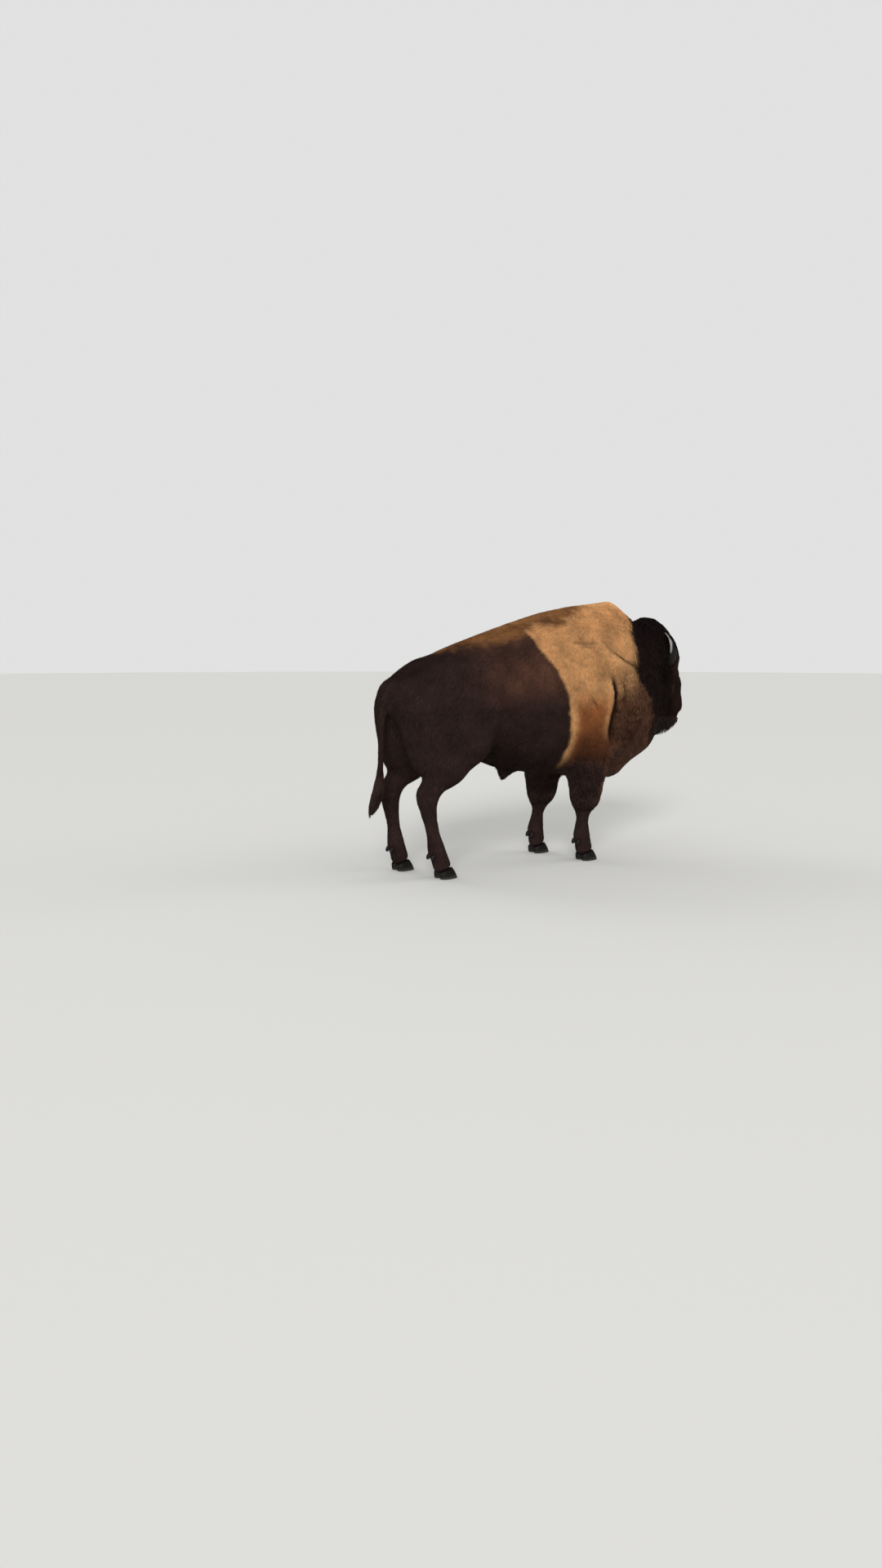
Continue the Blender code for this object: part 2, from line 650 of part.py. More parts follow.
def make():
    body = flesh("body", (-1.80, -0.55, -0.04), (1.20, 0.55, 1.95), BODY_STEP, BODY_TRIANGLES)
    skull = flesh("skull", (0.36, -0.36, 0.70), (1.16, 0.36, 1.82), HEAD_STEP, HEAD_TRIANGLES)
    made = {}
    spare = [body, skull]

    def keep(obj, colour):
        made[obj.name] = (obj, colour)
        return obj

    def socket(obj):
        spare.append(grown(obj, CUT))
        return spare[-1]

    def region(outline, low=-0.7, high=0.7, amount=CUT / 2):
        spare.append(block("region", outline, low, high, amount))
        return spare[-1]

    # Legs
    leg_space = {}
    for leg in LEGS:
        for side in SIDES.values():
            upper, lower, whole = leg_outlines(leg, side)
            name = f"{leg}leg_{{}}_{side_name(side)}"
            low, high = sorted((side * LEG_INSIDE[leg], side * 0.7))
            keep(cut(body, name.format("upper"), region(upper, low, high)), "dark_mane")
            sockets = []
            for inner in (False, True):
                keep(claw(leg, side, inner), "hoof")
                sockets.append(socket(keep(dewclaw(leg, side, inner), "hoof")))
            keep(cut(body, name.format("lower"), region(lower, low, high), sockets), "dark_mane")
            leg_space.setdefault(leg, []).append(region(whole, low, high, -CUT / 2))
    # Head
    sockets = []
    for side in SIDES.values():
        sockets.append(socket(keep(horn(side), "horn")))
        sockets.append(socket(keep(ear(side), "dark_mane")))
        sockets.append(socket(keep(eye(side), "eye")))
    keep(cut(skull, "head", region(REGIONS["head"]), sockets), "dark_mane")
    keep(cut(skull, "beard", region(REGIONS["beard"])), "dark_mane")
    keep(cut(body, "neck", region(REGIONS["neck"])), "cape_wool")
    # Trunk and tail
    keep(cut(body, "shoulders", region(REGIONS["shoulders"]), leg_space["fore"]), "cape_wool")
    keep(cut(body, "barrel", region(REGIONS["barrel"])), "body_coat")
    stem, tuft = tail()
    keep(stem, "body_coat")
    keep(tuft, "dark_mane")
    removed = leg_space["hind"] + [socket(stem)]
    keep(cut(body, "hindquarters", region(REGIONS["hindquarters"]), removed), "body_coat")
    for obj in spare:
        bpy.data.objects.remove(obj)
    # The middle of the whole stands over the origin
    corners = [v.co for obj, _ in made.values() for v in obj.data.vertices]
    low, high = (Vector([pick(c[i] for c in corners) for i in range(3)]) for pick in (min, max))
    shift = Matrix.Translation((-(low.x + high.x) / 2, -(low.y + high.y) / 2, -low.z))
    for obj, colour in made.values():
        obj.data.transform(shift)
        dressed(obj, colour)


for old in list(bpy.data.objects):
    bpy.data.objects.remove(old)
make()
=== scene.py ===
"""An American bison bull, life size and standing still.

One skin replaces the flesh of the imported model. Locks of hair grow over it, and the horns, hooves and eyes
are pieces of their own. Everything is in metres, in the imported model's frame: +X ahead, +Y left, +Z up.
"""
import json
import logging
import math
from contextlib import contextmanager
from dataclasses import dataclass, field
from enum import Enum, IntEnum
from functools import partial
from typing import Callable, Iterable, Iterator, Mapping, Sequence

import bmesh
import bpy
import numpy as np
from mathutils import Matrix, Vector
from mathutils.bvhtree import BVHTree

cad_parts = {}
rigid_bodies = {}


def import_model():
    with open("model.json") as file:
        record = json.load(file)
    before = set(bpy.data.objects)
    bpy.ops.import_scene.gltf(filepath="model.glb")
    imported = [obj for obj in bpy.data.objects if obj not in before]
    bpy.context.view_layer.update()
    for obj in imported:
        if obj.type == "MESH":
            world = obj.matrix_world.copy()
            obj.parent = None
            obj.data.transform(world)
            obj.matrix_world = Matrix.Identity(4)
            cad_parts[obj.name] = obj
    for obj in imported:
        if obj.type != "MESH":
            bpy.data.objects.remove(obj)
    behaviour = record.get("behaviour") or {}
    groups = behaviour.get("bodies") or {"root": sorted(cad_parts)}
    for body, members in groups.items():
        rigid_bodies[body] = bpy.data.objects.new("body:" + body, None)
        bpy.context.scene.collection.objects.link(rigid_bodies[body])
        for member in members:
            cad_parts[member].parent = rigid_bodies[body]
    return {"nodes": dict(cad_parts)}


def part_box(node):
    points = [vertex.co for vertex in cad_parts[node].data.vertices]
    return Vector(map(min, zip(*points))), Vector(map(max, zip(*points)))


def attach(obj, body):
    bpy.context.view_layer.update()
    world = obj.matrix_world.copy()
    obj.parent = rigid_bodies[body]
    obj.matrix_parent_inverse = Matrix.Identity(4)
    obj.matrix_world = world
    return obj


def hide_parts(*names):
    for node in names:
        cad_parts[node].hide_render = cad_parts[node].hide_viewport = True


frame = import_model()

log = logging.getLogger("bison")

Array = np.ndarray
Mesh, Object, Material = bpy.types.Mesh, bpy.types.Object, bpy.types.Material
Tree, Socket = bpy.types.NodeTree, bpy.types.NodeSocket
Spot = tuple[float, float, float]
Ridge = Callable[[Array], Array]

SIDES = {"left": 1, "right": -1}
TRUNK = ("barrel", "shoulders", "neck", "hindquarters")
LIMBS = tuple(
    f"{leg}leg_{part}_{side}" for leg in ("fore", "hind") for part in ("upper", "lower") for side in SIDES
)
FLESH = (*TRUNK, "head", "beard", "tail", "tail_tuft", *LIMBS)
EARS = tuple(f"ear_{side}" for side in SIDES)
UP = np.array((0.0, 0.0, 1.0))
BACK = np.array((-1.0, 0.0, 0.0))
BAKE_PATCH = 0.003  # the width of one lock's patch on the skin's unwrap

# the node types that are used most
MATHS = "ShaderNodeMath"
VECTORS = "ShaderNodeVectorMath"
MIX = "ShaderNodeMix"
SPREAD = "ShaderNodeMapRange"
NOISE = "ShaderNodeTexNoise"
STORED = "ShaderNodeAttribute"
BUMP = "ShaderNodeBump"
NEAREST = "GeometryNodeSampleNearestSurface"


class Region(IntEnum):
    """Where on the body a face of the skin lies, and so which kind of coat it grows."""

    CAPE = 0
    MANE = 1
    BONNET = 2
    CHEEK = 3
    FACE = 4
    BEARD = 5
    CHAPS = 6
    FLANK = 7
    RUMP = 8
    SHANK = 9
    TAIL = 10
    TUFT = 11
    EAR = 12
    THROAT = 13


class Slot(Enum):
    """The record's material slots."""

    BODY = "body_coat"
    CAPE = "cape_wool"
    MANE = "dark_mane"
    HORN = "horn"
    HOOF = "hoof"
    EYE = "eye"


# ---------------------------------------------------------------- colours and nodes


def linear(hex_colour: str) -> tuple[float, ...]:
    """Turns an sRGB hex colour into linear light.

    Args:
        hex_colour: six hex digits, such as "C0945A".

    Returns:
        Red, green, blue and an alpha of 1.
    """
    channels = (int(hex_colour[i : i + 2], 16) / 255 for i in (0, 2, 4))
    light = (c / 12.92 if c <= 0.04045 else ((c + 0.055) / 1.055) ** 2.4 for c in channels)
    return (*light, 1.0)


def add_node(
    tree: Tree, kind: str, inputs: Mapping | Sequence = (), out: int | str | None = None, **settings
) -> Socket | None:
    """Adds a node with its settings, values and links.

    Args:
        tree: the node tree that gets the node.
        kind: Blender's name of the node type.
        inputs: a value, or a socket to link from, for each input by name or by number, or else in order.
        out: the name or number of the output that is wanted. Without it, that is the first one in use.
        settings: attributes of the node itself.

    Returns:
        The wanted output, or None for a node without outputs.
    """
    made = tree.nodes.new(kind)
    for name, value in settings.items():
        setattr(made, name, value)
    for key, value in inputs.items() if isinstance(inputs, Mapping) else enumerate(inputs):
        if isinstance(key, int):
            socket = made.inputs[key]
        else:
            socket = next(s for s in made.inputs if s.name == key and s.enabled)
        if isinstance(value, Socket):
            tree.links.new(value, socket)
        else:
            socket.default_value = value
    return next((s for s in made.outputs if s.enabled), None) if out is None else made.outputs[out]


def new_material(name: str) -> tuple[Material, Callable]:
    """Makes a new material without nodes.

    Args:
        name: the material's name.

    Returns:
        The material, and the call that adds a node to it.
    """
    made = bpy.data.materials.new(name)
    made.use_nodes = True
    made.node_tree.nodes.clear()
    return made, partial(add_node, made.node_tree)


# ---------------------------------------------------------------- numbers


def smooth(low: float, high: float, x: Array) -> Array:
    """A soft step from 0 at low to 1 at high."""
    t = np.clip((x - low) / (high - low), 0, 1)
    return t * t * (3 - 2 * t)


def bump(x: Array, width: float, middle: float = 0.0) -> Array:
    """A soft bump of height 1 at the middle."""
    return np.exp(-(((x - middle) / width) ** 2))


def unit(vectors: Array) -> Array:
    """The vectors, each made of length 1."""
    return vectors / np.maximum(np.linalg.norm(vectors, axis=1, keepdims=True), 1e-9)


def flattened(vectors: Array, normals: Array) -> Array:
    """What is left of the vectors along the surface that has these normals."""
    return vectors - normals * (vectors * normals).sum(1, keepdims=True)


def square_axes(out: Array, along: Array) -> tuple[Array, Array, Array]:
    """Squares up the axes of an opening.

    Args:
        out: the way out of it, of any length.
        along: roughly the way across its length.

    Returns:
        Unit vectors across its length, across its height, and out.
    """
    out = out / np.linalg.norm(out)
    along = along - out * (along @ out)
    along = along / np.linalg.norm(along)
    return along, np.cross(out, along), out


def gap_to(points: Array, stations: Sequence) -> Array:
    """Measures how far points are from a line.

    Args:
        points: places in space or in a plane, one a row.
        stations: the places that the line runs through, in order.

    Returns:
        The distance of each point, up to 1 m.
    """
    gap = np.full(len(points), 1.0)
    for start, end in zip(stations, stations[1:]):
        start, end = np.array(start), np.array(end)
        step, away = end - start, points - start
        t = np.clip(away @ step / (step @ step), 0, 1)
        gap = np.minimum(gap, np.linalg.norm(away - t[:, None] * step, axis=1))
    return gap


def wander(points: Array, size: float, seed: int) -> Array:
    """Smooth random values in space.

    Args:
        points: places, one a row.
        size: how far apart the random values lie, in metres.
        seed: which set of random values.

    Returns:
        A value from -1 to 1 for each place.
    """
    table = np.random.default_rng(seed).random(256)
    order = np.random.default_rng(seed + 1).permutation(256)
    scaled = points / size
    cell = np.floor(scaled).astype(int)
    share = scaled - cell
    share = share * share * (3 - 2 * share)
    total = np.zeros(len(points))
    for corner in range(8):
        step = np.array([corner & 1, corner >> 1 & 1, corner >> 2 & 1])
        at = cell + step
        chosen = order[(order[(order[at[:, 0] & 255] + at[:, 1]) & 255] + at[:, 2]) & 255]
        total += table[chosen] * np.where(step, share, 1 - share).prod(1)
    return total * 2 - 1


# ---------------------------------------------------------------- meshes


def gathered(items: Sequence, key: str, width: int = 1, kind: type = np.int32) -> Array:
    """One property of all these items of a mesh, one item a row."""
    flat = np.zeros(len(items) * width, kind)
    items.foreach_get(key, flat)
    return flat.reshape(-1, width) if width > 1 else flat


def points_of(mesh: Mesh) -> Array:
    """The mesh's points, one a row."""
    return gathered(mesh.vertices, "co", 3, np.float32).astype(float)


def normals_of(mesh: Mesh) -> Array:
    """The direction outwards at each of the mesh's points."""
    return unit(gathered(mesh.vertex_normals, "vector", 3, np.float32).astype(float))


def move_points(mesh: Mesh, points: Array) -> None:
    """Puts the mesh's points at these places."""
    mesh.vertices.foreach_set("co", points.astype(np.float32).ravel())
    mesh.update()


def store(mesh: Mesh, name: str, values: Array) -> None:
    """Keeps a number or a vector for each point of the mesh, under a name that nodes can read."""
    kind, key = ("FLOAT_VECTOR", "vector") if values.ndim == 2 else ("FLOAT", "value")
    attribute = mesh.attributes.get(name) or mesh.attributes.new(name, kind, "POINT")
    attribute.data.foreach_set(key, values.astype(np.float32).ravel())


def mesh_of(name: str, points: Sequence, faces: Sequence) -> Mesh:
    """A mesh of these points and faces."""
    mesh = bpy.data.meshes.new(name)
    mesh.from_pydata(points, [], faces)
    return mesh


@contextmanager
def edited(mesh: Mesh) -> Iterator[bmesh.types.BMesh]:
    """Opens a mesh for edits, and keeps them when they are done.

    Args:
        mesh: the mesh.

    Yields:
        The mesh in its form for edits.
    """
    work = bmesh.new()
    work.from_mesh(mesh)
    yield work
    work.to_mesh(mesh)
    work.free()


def turn_out(mesh: Mesh) -> None:
    """Turns the faces of a closed mesh outwards."""
    with edited(mesh) as work:
        bmesh.ops.recalc_face_normals(work, faces=work.faces)


def shown(name: str, mesh: Mesh) -> Object:
    """An object at the origin that shows the mesh."""
    made = bpy.data.objects.new(name, mesh)
    bpy.context.scene.collection.objects.link(made)
    return made


def settled(obj: Object) -> Mesh:
    """Applies an object's modifiers and removes the object.

    Args:
        obj: the object.

    Returns:
        Its mesh with the modifiers applied.
    """
    depsgraph = bpy.context.evaluated_depsgraph_get()
    mesh = bpy.data.meshes.new_from_object(obj.evaluated_get(depsgraph))
    bpy.data.objects.remove(obj)
    return mesh


def modified(mesh: Mesh, kind: str, **settings) -> Mesh:
    """Applies one modifier to a mesh.

    Args:
        mesh: the mesh.
        kind: Blender's name of the modifier type.
        settings: attributes of the modifier.

    Returns:
        A new mesh.
    """
    rough = shown("rough", mesh)
    modifier = rough.modifiers.new("applied", kind)
    for name, value in settings.items():
        setattr(modifier, name, value)
    return settled(rough)


def dressed(
    name: str, mesh: Mesh, finish: Material, slot: Slot, *nodes: str
) -> Object:
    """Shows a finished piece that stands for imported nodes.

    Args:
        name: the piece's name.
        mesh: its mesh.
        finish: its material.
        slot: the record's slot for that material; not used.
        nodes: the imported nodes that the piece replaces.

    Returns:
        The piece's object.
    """
    made = shown(name, mesh)
    mesh.materials.append(finish)
    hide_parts(*nodes)
    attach(made, "root")
    log.info("%s: %d faces", name, len(mesh.polygons))
    return made


def joined(nodes: Iterable[str], swell: float = 0.0) -> tuple[list, list, list[str]]:
    """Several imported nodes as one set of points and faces.

    Args:
        nodes: the nodes' names.
        swell: how far each is swollen first, so that neighbours overlap.

    Returns:
        The points, the faces, and the node that each face comes from.
    """
    points, faces, owners = [], [], []
    for node in nodes:
        mesh = bmesh.new()
        mesh.from_mesh(frame["nodes"][node].data)
        bmesh.ops.remove_doubles(mesh, verts=mesh.verts, dist=1e-5)
        mesh.normal_update()
        start = len(points)
        points += [tuple(v.co + v.normal * swell) for v in mesh.verts]
        faces += [tuple(start + v.index for v in f.verts) for f in mesh.faces]
        owners += [node] * len(mesh.faces)
        mesh.free()
    return points, faces, owners


@dataclass
class Net:
    """The edges of a mesh, to average values over neighbours."""

    edges: Array
    size: int

    @classmethod
    def of(cls, mesh: Mesh) -> "Net":
        """The net of a mesh."""
        return cls(gathered(mesh.edges, "vertices", 2), len(mesh.vertices))

    def mean(self, values: Array) -> Array:
        """Averages over neighbours.

        Args:
            values: a number or a vector for each point.

        Returns:
            The mean value of each point's neighbours.
        """
        a, b = self.edges.T
        count = np.bincount(a, minlength=self.size) + np.bincount(b, minlength=self.size)
        columns = values.reshape(self.size, -1).T
        total = [np.bincount(a, c[b], self.size) + np.bincount(b, c[a], self.size) for c in columns]
        return (np.stack(total, axis=1) / np.maximum(count, 1)[:, None]).reshape(values.shape)

    def relaxed(self, values: Array, rounds: int, share: float | Array = 0.5) -> Array:
        """Values drawn towards their neighbours' mean.

        Args:
            values: a number or a vector for each point.
            rounds: how many times.
            share: how far each time, from 0 to 1, for all points or for each.

        Returns:
            The evened values.
        """
        weight = share if np.isscalar(share) or values.ndim == 1 else share[:, None]
        for _ in range(rounds):
            values = values + weight * (self.mean(values) - values)
        return values


# ---------------------------------------------------------------- the head's own frame


@dataclass(frozen=True)
class HeadFrame:
    """Places on the head: u runs down the face from the poll, v to the left, w out of the forehead.

    The eye and the nostril are head places, and the horn's root and socket are body places, all on the left.
    """

    pitch: float = math.radians(72)
    eye: Spot = (0.207, 0.131, -0.100)
    eyeball: float = 0.023
    nostril: Spot = (0.524, 0.052, -0.034)
    horn_root: Spot = (1.031, 0.150, 1.355)
    socket: Spot = (1.026, 0.090, 1.362)
    socket_radius: float = 0.052

    @property
    def down(self) -> Array:
        """The direction down the face."""
        return np.array((math.cos(self.pitch), 0.0, -math.sin(self.pitch)))

    @property
    def out(self) -> Array:
        """The direction out of the forehead."""
        return np.array((math.sin(self.pitch), 0.0, math.cos(self.pitch)))

    @property
    def poll(self) -> Array:
        """The frame's origin at the poll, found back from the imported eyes."""
        low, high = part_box("eye_left")
        middle = np.array((low + high) / 2)
        middle[1] = 0.0
        return middle - self.eye[0] * self.down - self.eye[2] * self.out

    def local(self, points: Array) -> Array:
        """Body places as head places, one a row."""
        away = points - self.poll
        return np.stack((away @ self.down, away[:, 1], away @ self.out), axis=1)

    def way(self, u: float, v: float, w: float) -> Array:
        """A head direction as a body direction."""
        return u * self.down + np.array((0.0, v, 0.0)) + w * self.out

    def place(self, spot: Spot, side: int) -> Array:
        """A head place of the left side as a body place, on either side."""
        return self.poll + self.way(spot[0], side * spot[1], spot[2])

    def gaze(self, side: int) -> tuple[Array, Array, Array]:
        """One eye's axes: from its outer to its inner corner, across the lids, and the way it looks."""
        return square_axes(self.way(0.02, 0.92 * side, 0.36), self.way(0.80, 0.0, 0.55))

    def round_horns(self, points: Array, reach: float) -> Array:
        """How near each body place is to a horn's root, from 0 to 1."""
        x, y, z = self.horn_root
        gaps = [np.linalg.norm(points - (x, y * side, z), axis=1) for side in SIDES.values()]
        return bump(np.minimum(*gaps), reach)


HEAD = HeadFrame()


# ---------------------------------------------------------------- markings


@dataclass(frozen=True)
class Markings:
    """Where the coat's colours lie, for the skin and the hair alike. Lines are stations of height and x."""

    cape_rear: tuple = (
        (0.74, -0.075), (0.79, -0.070), (0.88, -0.053), (0.95, -0.057), (1.03, -0.068), (1.15, -0.060),
        (1.235, -0.076), (1.31, -0.095), (1.38, -0.155), (1.455, -0.200), (1.54, -0.222), (1.62, -0.26),
    )
    head_edge: tuple = (
        (0.80, 0.95), (1.00, 0.90), (1.136, 0.775), (1.20, 0.640), (1.273, 0.560), (1.32, 0.545),
        (1.424, 0.572), (1.511, 0.600), (1.58, 0.625), (1.64, 0.70), (1.72, 0.80), (1.80, 0.90),
    )
    crease: tuple = ((0.84, 0.288), (0.93, 0.302), (1.02, 0.328), (1.10, 0.360), (1.17, 0.368), (1.30, 0.338))
    # how far the stripe comes down from the ridge, at each x
    stripe_drop: tuple = (
        (-0.86, 0.02), (-0.68, 0.035), (-0.60, 0.065), (-0.46, 0.085), (-0.27, 0.105), (-0.12, 0.085),
        (0.08, 0.092), (0.20, 0.075), (0.33, 0.050), (0.50, 0.0),
    )
    # lines of x and height, each with its depth
    folds: tuple = (
        (((0.390, 1.425), (0.430, 1.395), (0.475, 1.370), (0.521, 1.349), (0.560, 1.345)), 1.0),
        (((0.315, 1.515), (0.340, 1.475), (0.372, 1.440)), 0.45),
        (((0.105, 1.500), (0.170, 1.486), (0.245, 1.496)), 0.6),
        (((0.150, 1.462), (0.184, 1.470), (0.225, 1.462)), 0.6),
        (((0.165, 1.118), (0.182, 1.098), (0.192, 1.075)), 0.6),
        (((0.425, 1.235), (0.432, 1.180), (0.420, 1.120)), 0.8),
    )

    def masks(self, points: Array, ridge: Ridge) -> dict[str, Array]:
        """How much of each marking there is at each place.

        Args:
            points: places on the body, one a row.
            ridge: gives the height of the back at each x.

        Returns:
            A value from 0 to 1 for each place, by the marking's name.
        """
        x, _, z = points.T
        # the edges wander by up to 20 mm
        ragged = 0.010 * wander(points, 0.035, 11) + 0.010 * wander(points, 0.09, 12)
        cape_rear, head_edge, crease_line = (
            np.interp(z, *zip(*stations)) for stations in (self.cape_rear, self.head_edge, self.crease)
        )
        # how far ahead of the cape's rear edge, past the shoulder's crease, and over the stripe's lower edge
        ahead = x - cape_rear + ragged
        past = x - crease_line
        over = z - ridge(x) + np.interp(x, *zip(*self.stripe_drop)) + 2.5 * ragged
        # the crease behind the shoulder: the skin sinks along it, the hair there is shorter, and it is painted
        # dark as painted shade
        crease = np.minimum(1.35 * bump(past, 0.018), 1) * smooth(0.82, 0.90, z)
        crease = crease * (1 - smooth(1.22, 1.31, z))
        mane = 1 - smooth(1.05, 1.42, z - 0.80 * (x - 0.42) + 1.5 * ragged)
        low = (1 - smooth(1.05, 1.22, z + 2 * ragged)) * smooth(0.02, 0.10, ahead + ragged)
        lit = (0.68 + 0.35 * wander(points, 0.11, 15)) * smooth(1.03, 1.30, z) * smooth(-0.88, -0.44, x)
        return {
            "cape": smooth(-0.008, 0.012, ahead) * smooth(0.66, 0.80, z + ragged),
            "stripe": smooth(-0.035, 0.030, over) * smooth(-0.89, -0.76, x) * (1 - smooth(0.30, 0.55, x)),
            "black": smooth(-0.022, 0.030, x - head_edge + ragged),
            "mane": mane * smooth(-0.004, 0.014, past + 0.3 * ragged),
            "low": low * (1 - 0.6 * bump(past, 0.03, -0.04)),
            "deep": (1 - smooth(0.82, 1.00, z + 3 * ragged)) * smooth(-0.04, 0.08, x),
            "lit": lit * (1 - 0.55 * bump(over, 0.05, -0.085)),
            "crease": np.maximum(crease, self.folded(points)),
            "face": self.faced(points, ragged),
        }

    @staticmethod
    def faced(points: Array, ragged: Array) -> Array:
        """How much each place belongs to the short brown hair of the face, from 0 to 1."""
        u, v, w = HEAD.local(points).T
        below = smooth(0.11, 0.20, u + 0.35 * np.abs(v) + ragged)
        return below * smooth(-0.24, -0.14, w + ragged) * (points[:, 0] > 0.95)

    def folded(self, points: Array) -> Array:
        """How near each place is to one of the small folds of the neck and shoulder, from 0 to 1. The folds
        are painted dark as painted shade.
        """
        found = [depth * bump(gap_to(points[:, (0, 2)], fold), 0.009) for fold, depth in self.folds]
        return np.maximum.reduce(found) * (np.abs(points[:, 1]) > 0.20)


MARKINGS = Markings()


# ---------------------------------------------------------------- the coat's growth


@dataclass(frozen=True)
class Growth:
    """How the coat grows in one region. Lengths are in metres."""

    depth: float
    length: float
    width: float
    spacing: float
    way: tuple[float, float]  # how far back and how far down it lies
    cling: float = 1.0  # how closely the locks follow the skin's curve
    hang: float = 0.0  # how much of the lie is straight, not along the skin
    turn: float = 0.35
    rings: int = 3
    thick: float = 0.12
    slot: Slot = Slot.MANE
    sided: bool = False  # whether left and right are pieces of their own
    proud: float = 0.008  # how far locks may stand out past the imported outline


GROWTH = {
    Region.CAPE: Growth(0.013, 0.042, 0.0046, 0.0031, (0.50, 0.85), turn=0.30, rings=1, thick=0.22,
                        slot=Slot.CAPE, sided=True),
    Region.MANE: Growth(0.021, 0.080, 0.0054, 0.0045, (0.25, 1.00), 0.9, 0.1, turn=0.3, rings=2, sided=True),
    Region.THROAT: Growth(0.038, 0.120, 0.0066, 0.0063, (0.30, 1.00), 0.45, 0.5, thick=0.08),
    Region.BONNET: Growth(0.024, 0.050, 0.0048, 0.0037, (0.0, 1.0), 0.9, turn=0.9, rings=2),
    Region.CHEEK: Growth(0.018, 0.046, 0.0046, 0.0038, (0.35, 1.0), 0.9, 0.1, rings=2),
    Region.FACE: Growth(0.006, 0.016, 0.0031, 0.0023, (0.0, 1.0), rings=1, thick=0.25, turn=0.25),
    Region.BEARD: Growth(0.036, 0.210, 0.0056, 0.0036, (0.03, 1.0), 0.0, 1.0, turn=0.22, thick=0.08),
    Region.CHAPS: Growth(0.024, 0.090, 0.0058, 0.0050, (0.15, 1.0), 0.7, 0.35, rings=2),
    Region.FLANK: Growth(0.007, 0.032, 0.0056, 0.0044, (0.75, 0.60), rings=1, thick=0.22, slot=Slot.BODY,
                         sided=True),
    Region.RUMP: Growth(0.006, 0.026, 0.0056, 0.0046, (0.40, 0.95), rings=1, thick=0.22, slot=Slot.BODY,
                        sided=True),
    Region.SHANK: Growth(0.005, 0.018, 0.0046, 0.0039, (0.10, 1.0), rings=1, thick=0.28, turn=0.2),
    Region.TAIL: Growth(0.004, 0.026, 0.0045, 0.0042, (0.30, 1.0), rings=1, thick=0.30, turn=0.2,
                        slot=Slot.BODY),
    Region.TUFT: Growth(0.010, 0.150, 0.0058, 0.0034, (0.10, 1.0), 0.2, 0.7, turn=0.15, proud=1.0),
    Region.EAR: Growth(0.004, 0.034, 0.0042, 0.0032, (0.0, 1.0), 0.5, turn=0.4, rings=2, thick=0.3,
                       proud=1.0),
}
TOPS = (Region.CAPE, Region.MANE, Region.FLANK, Region.RUMP)  # their hair lies straight back on the top line
HANGING = (Region.THROAT, Region.BEARD, Region.CHAPS, Region.TUFT)  # their locks end at the outline
LEGS_AND_TAIL = (Region.CHAPS, Region.SHANK, Region.RUMP, Region.TAIL, Region.TUFT)


def by_region(values: Callable[[Growth], object]) -> Array:
    """A table with a row for each region, worked out from its growth."""
    return np.array([values(GROWTH[region]) for region in Region])


@dataclass
class Strand:
    """One tapered lock of unit length, width and lift, which the coat repeats."""

    rings: int
    thick: float
    bend: float
    wave: float

    def mesh(self) -> Mesh:
        """Builds the lock: rings of three points, and a tip.

        Returns:
            A closed mesh that runs along +X. "strand" keeps how far along it and across it each point is.
        """
        points, own, faces = [], [], [(0, 1, 2)]
        sides = ((0, 1), (1, 2), (2, 0))
        for i in range(self.rings):
            t = i / (self.rings - 0.15) if self.rings > 2 else i * 0.48
            half = 0.5 * (0.70 + 1.2 * t) * (1 - t**2.2)
            height = -0.12 if i == 0 else 1 - 0.55 * (1 - t) ** 2
            aside = self.bend * t * t + self.wave * math.sin(t * math.tau)
            points += [(t, aside - half, height), (t, aside + half, height), (t, aside, height + self.thick)]
            own += [(t - 0.5, -0.5, 0.0), (t - 0.5, 0.5, 0.0), (t - 0.5, 0.0, 1.0)]
        points.append((1.0, self.bend, 0.94))
        own.append((0.5, 0.0, 0.5))
        for ring in range(0, 3 * self.rings - 3, 3):
            faces += [(ring + b, ring + a, ring + 3 + a, ring + 3 + b) for a, b in sides]
        last, tip = 3 * (self.rings - 1), 3 * self.rings
        faces += [(last + b, last + a, tip) for a, b in sides]
        mesh = mesh_of("strand", points, faces)
        mesh.shade_smooth()
        store(mesh, "strand", np.array(own))
        mesh.validate()
        return mesh


# ---------------------------------------------------------------- the face


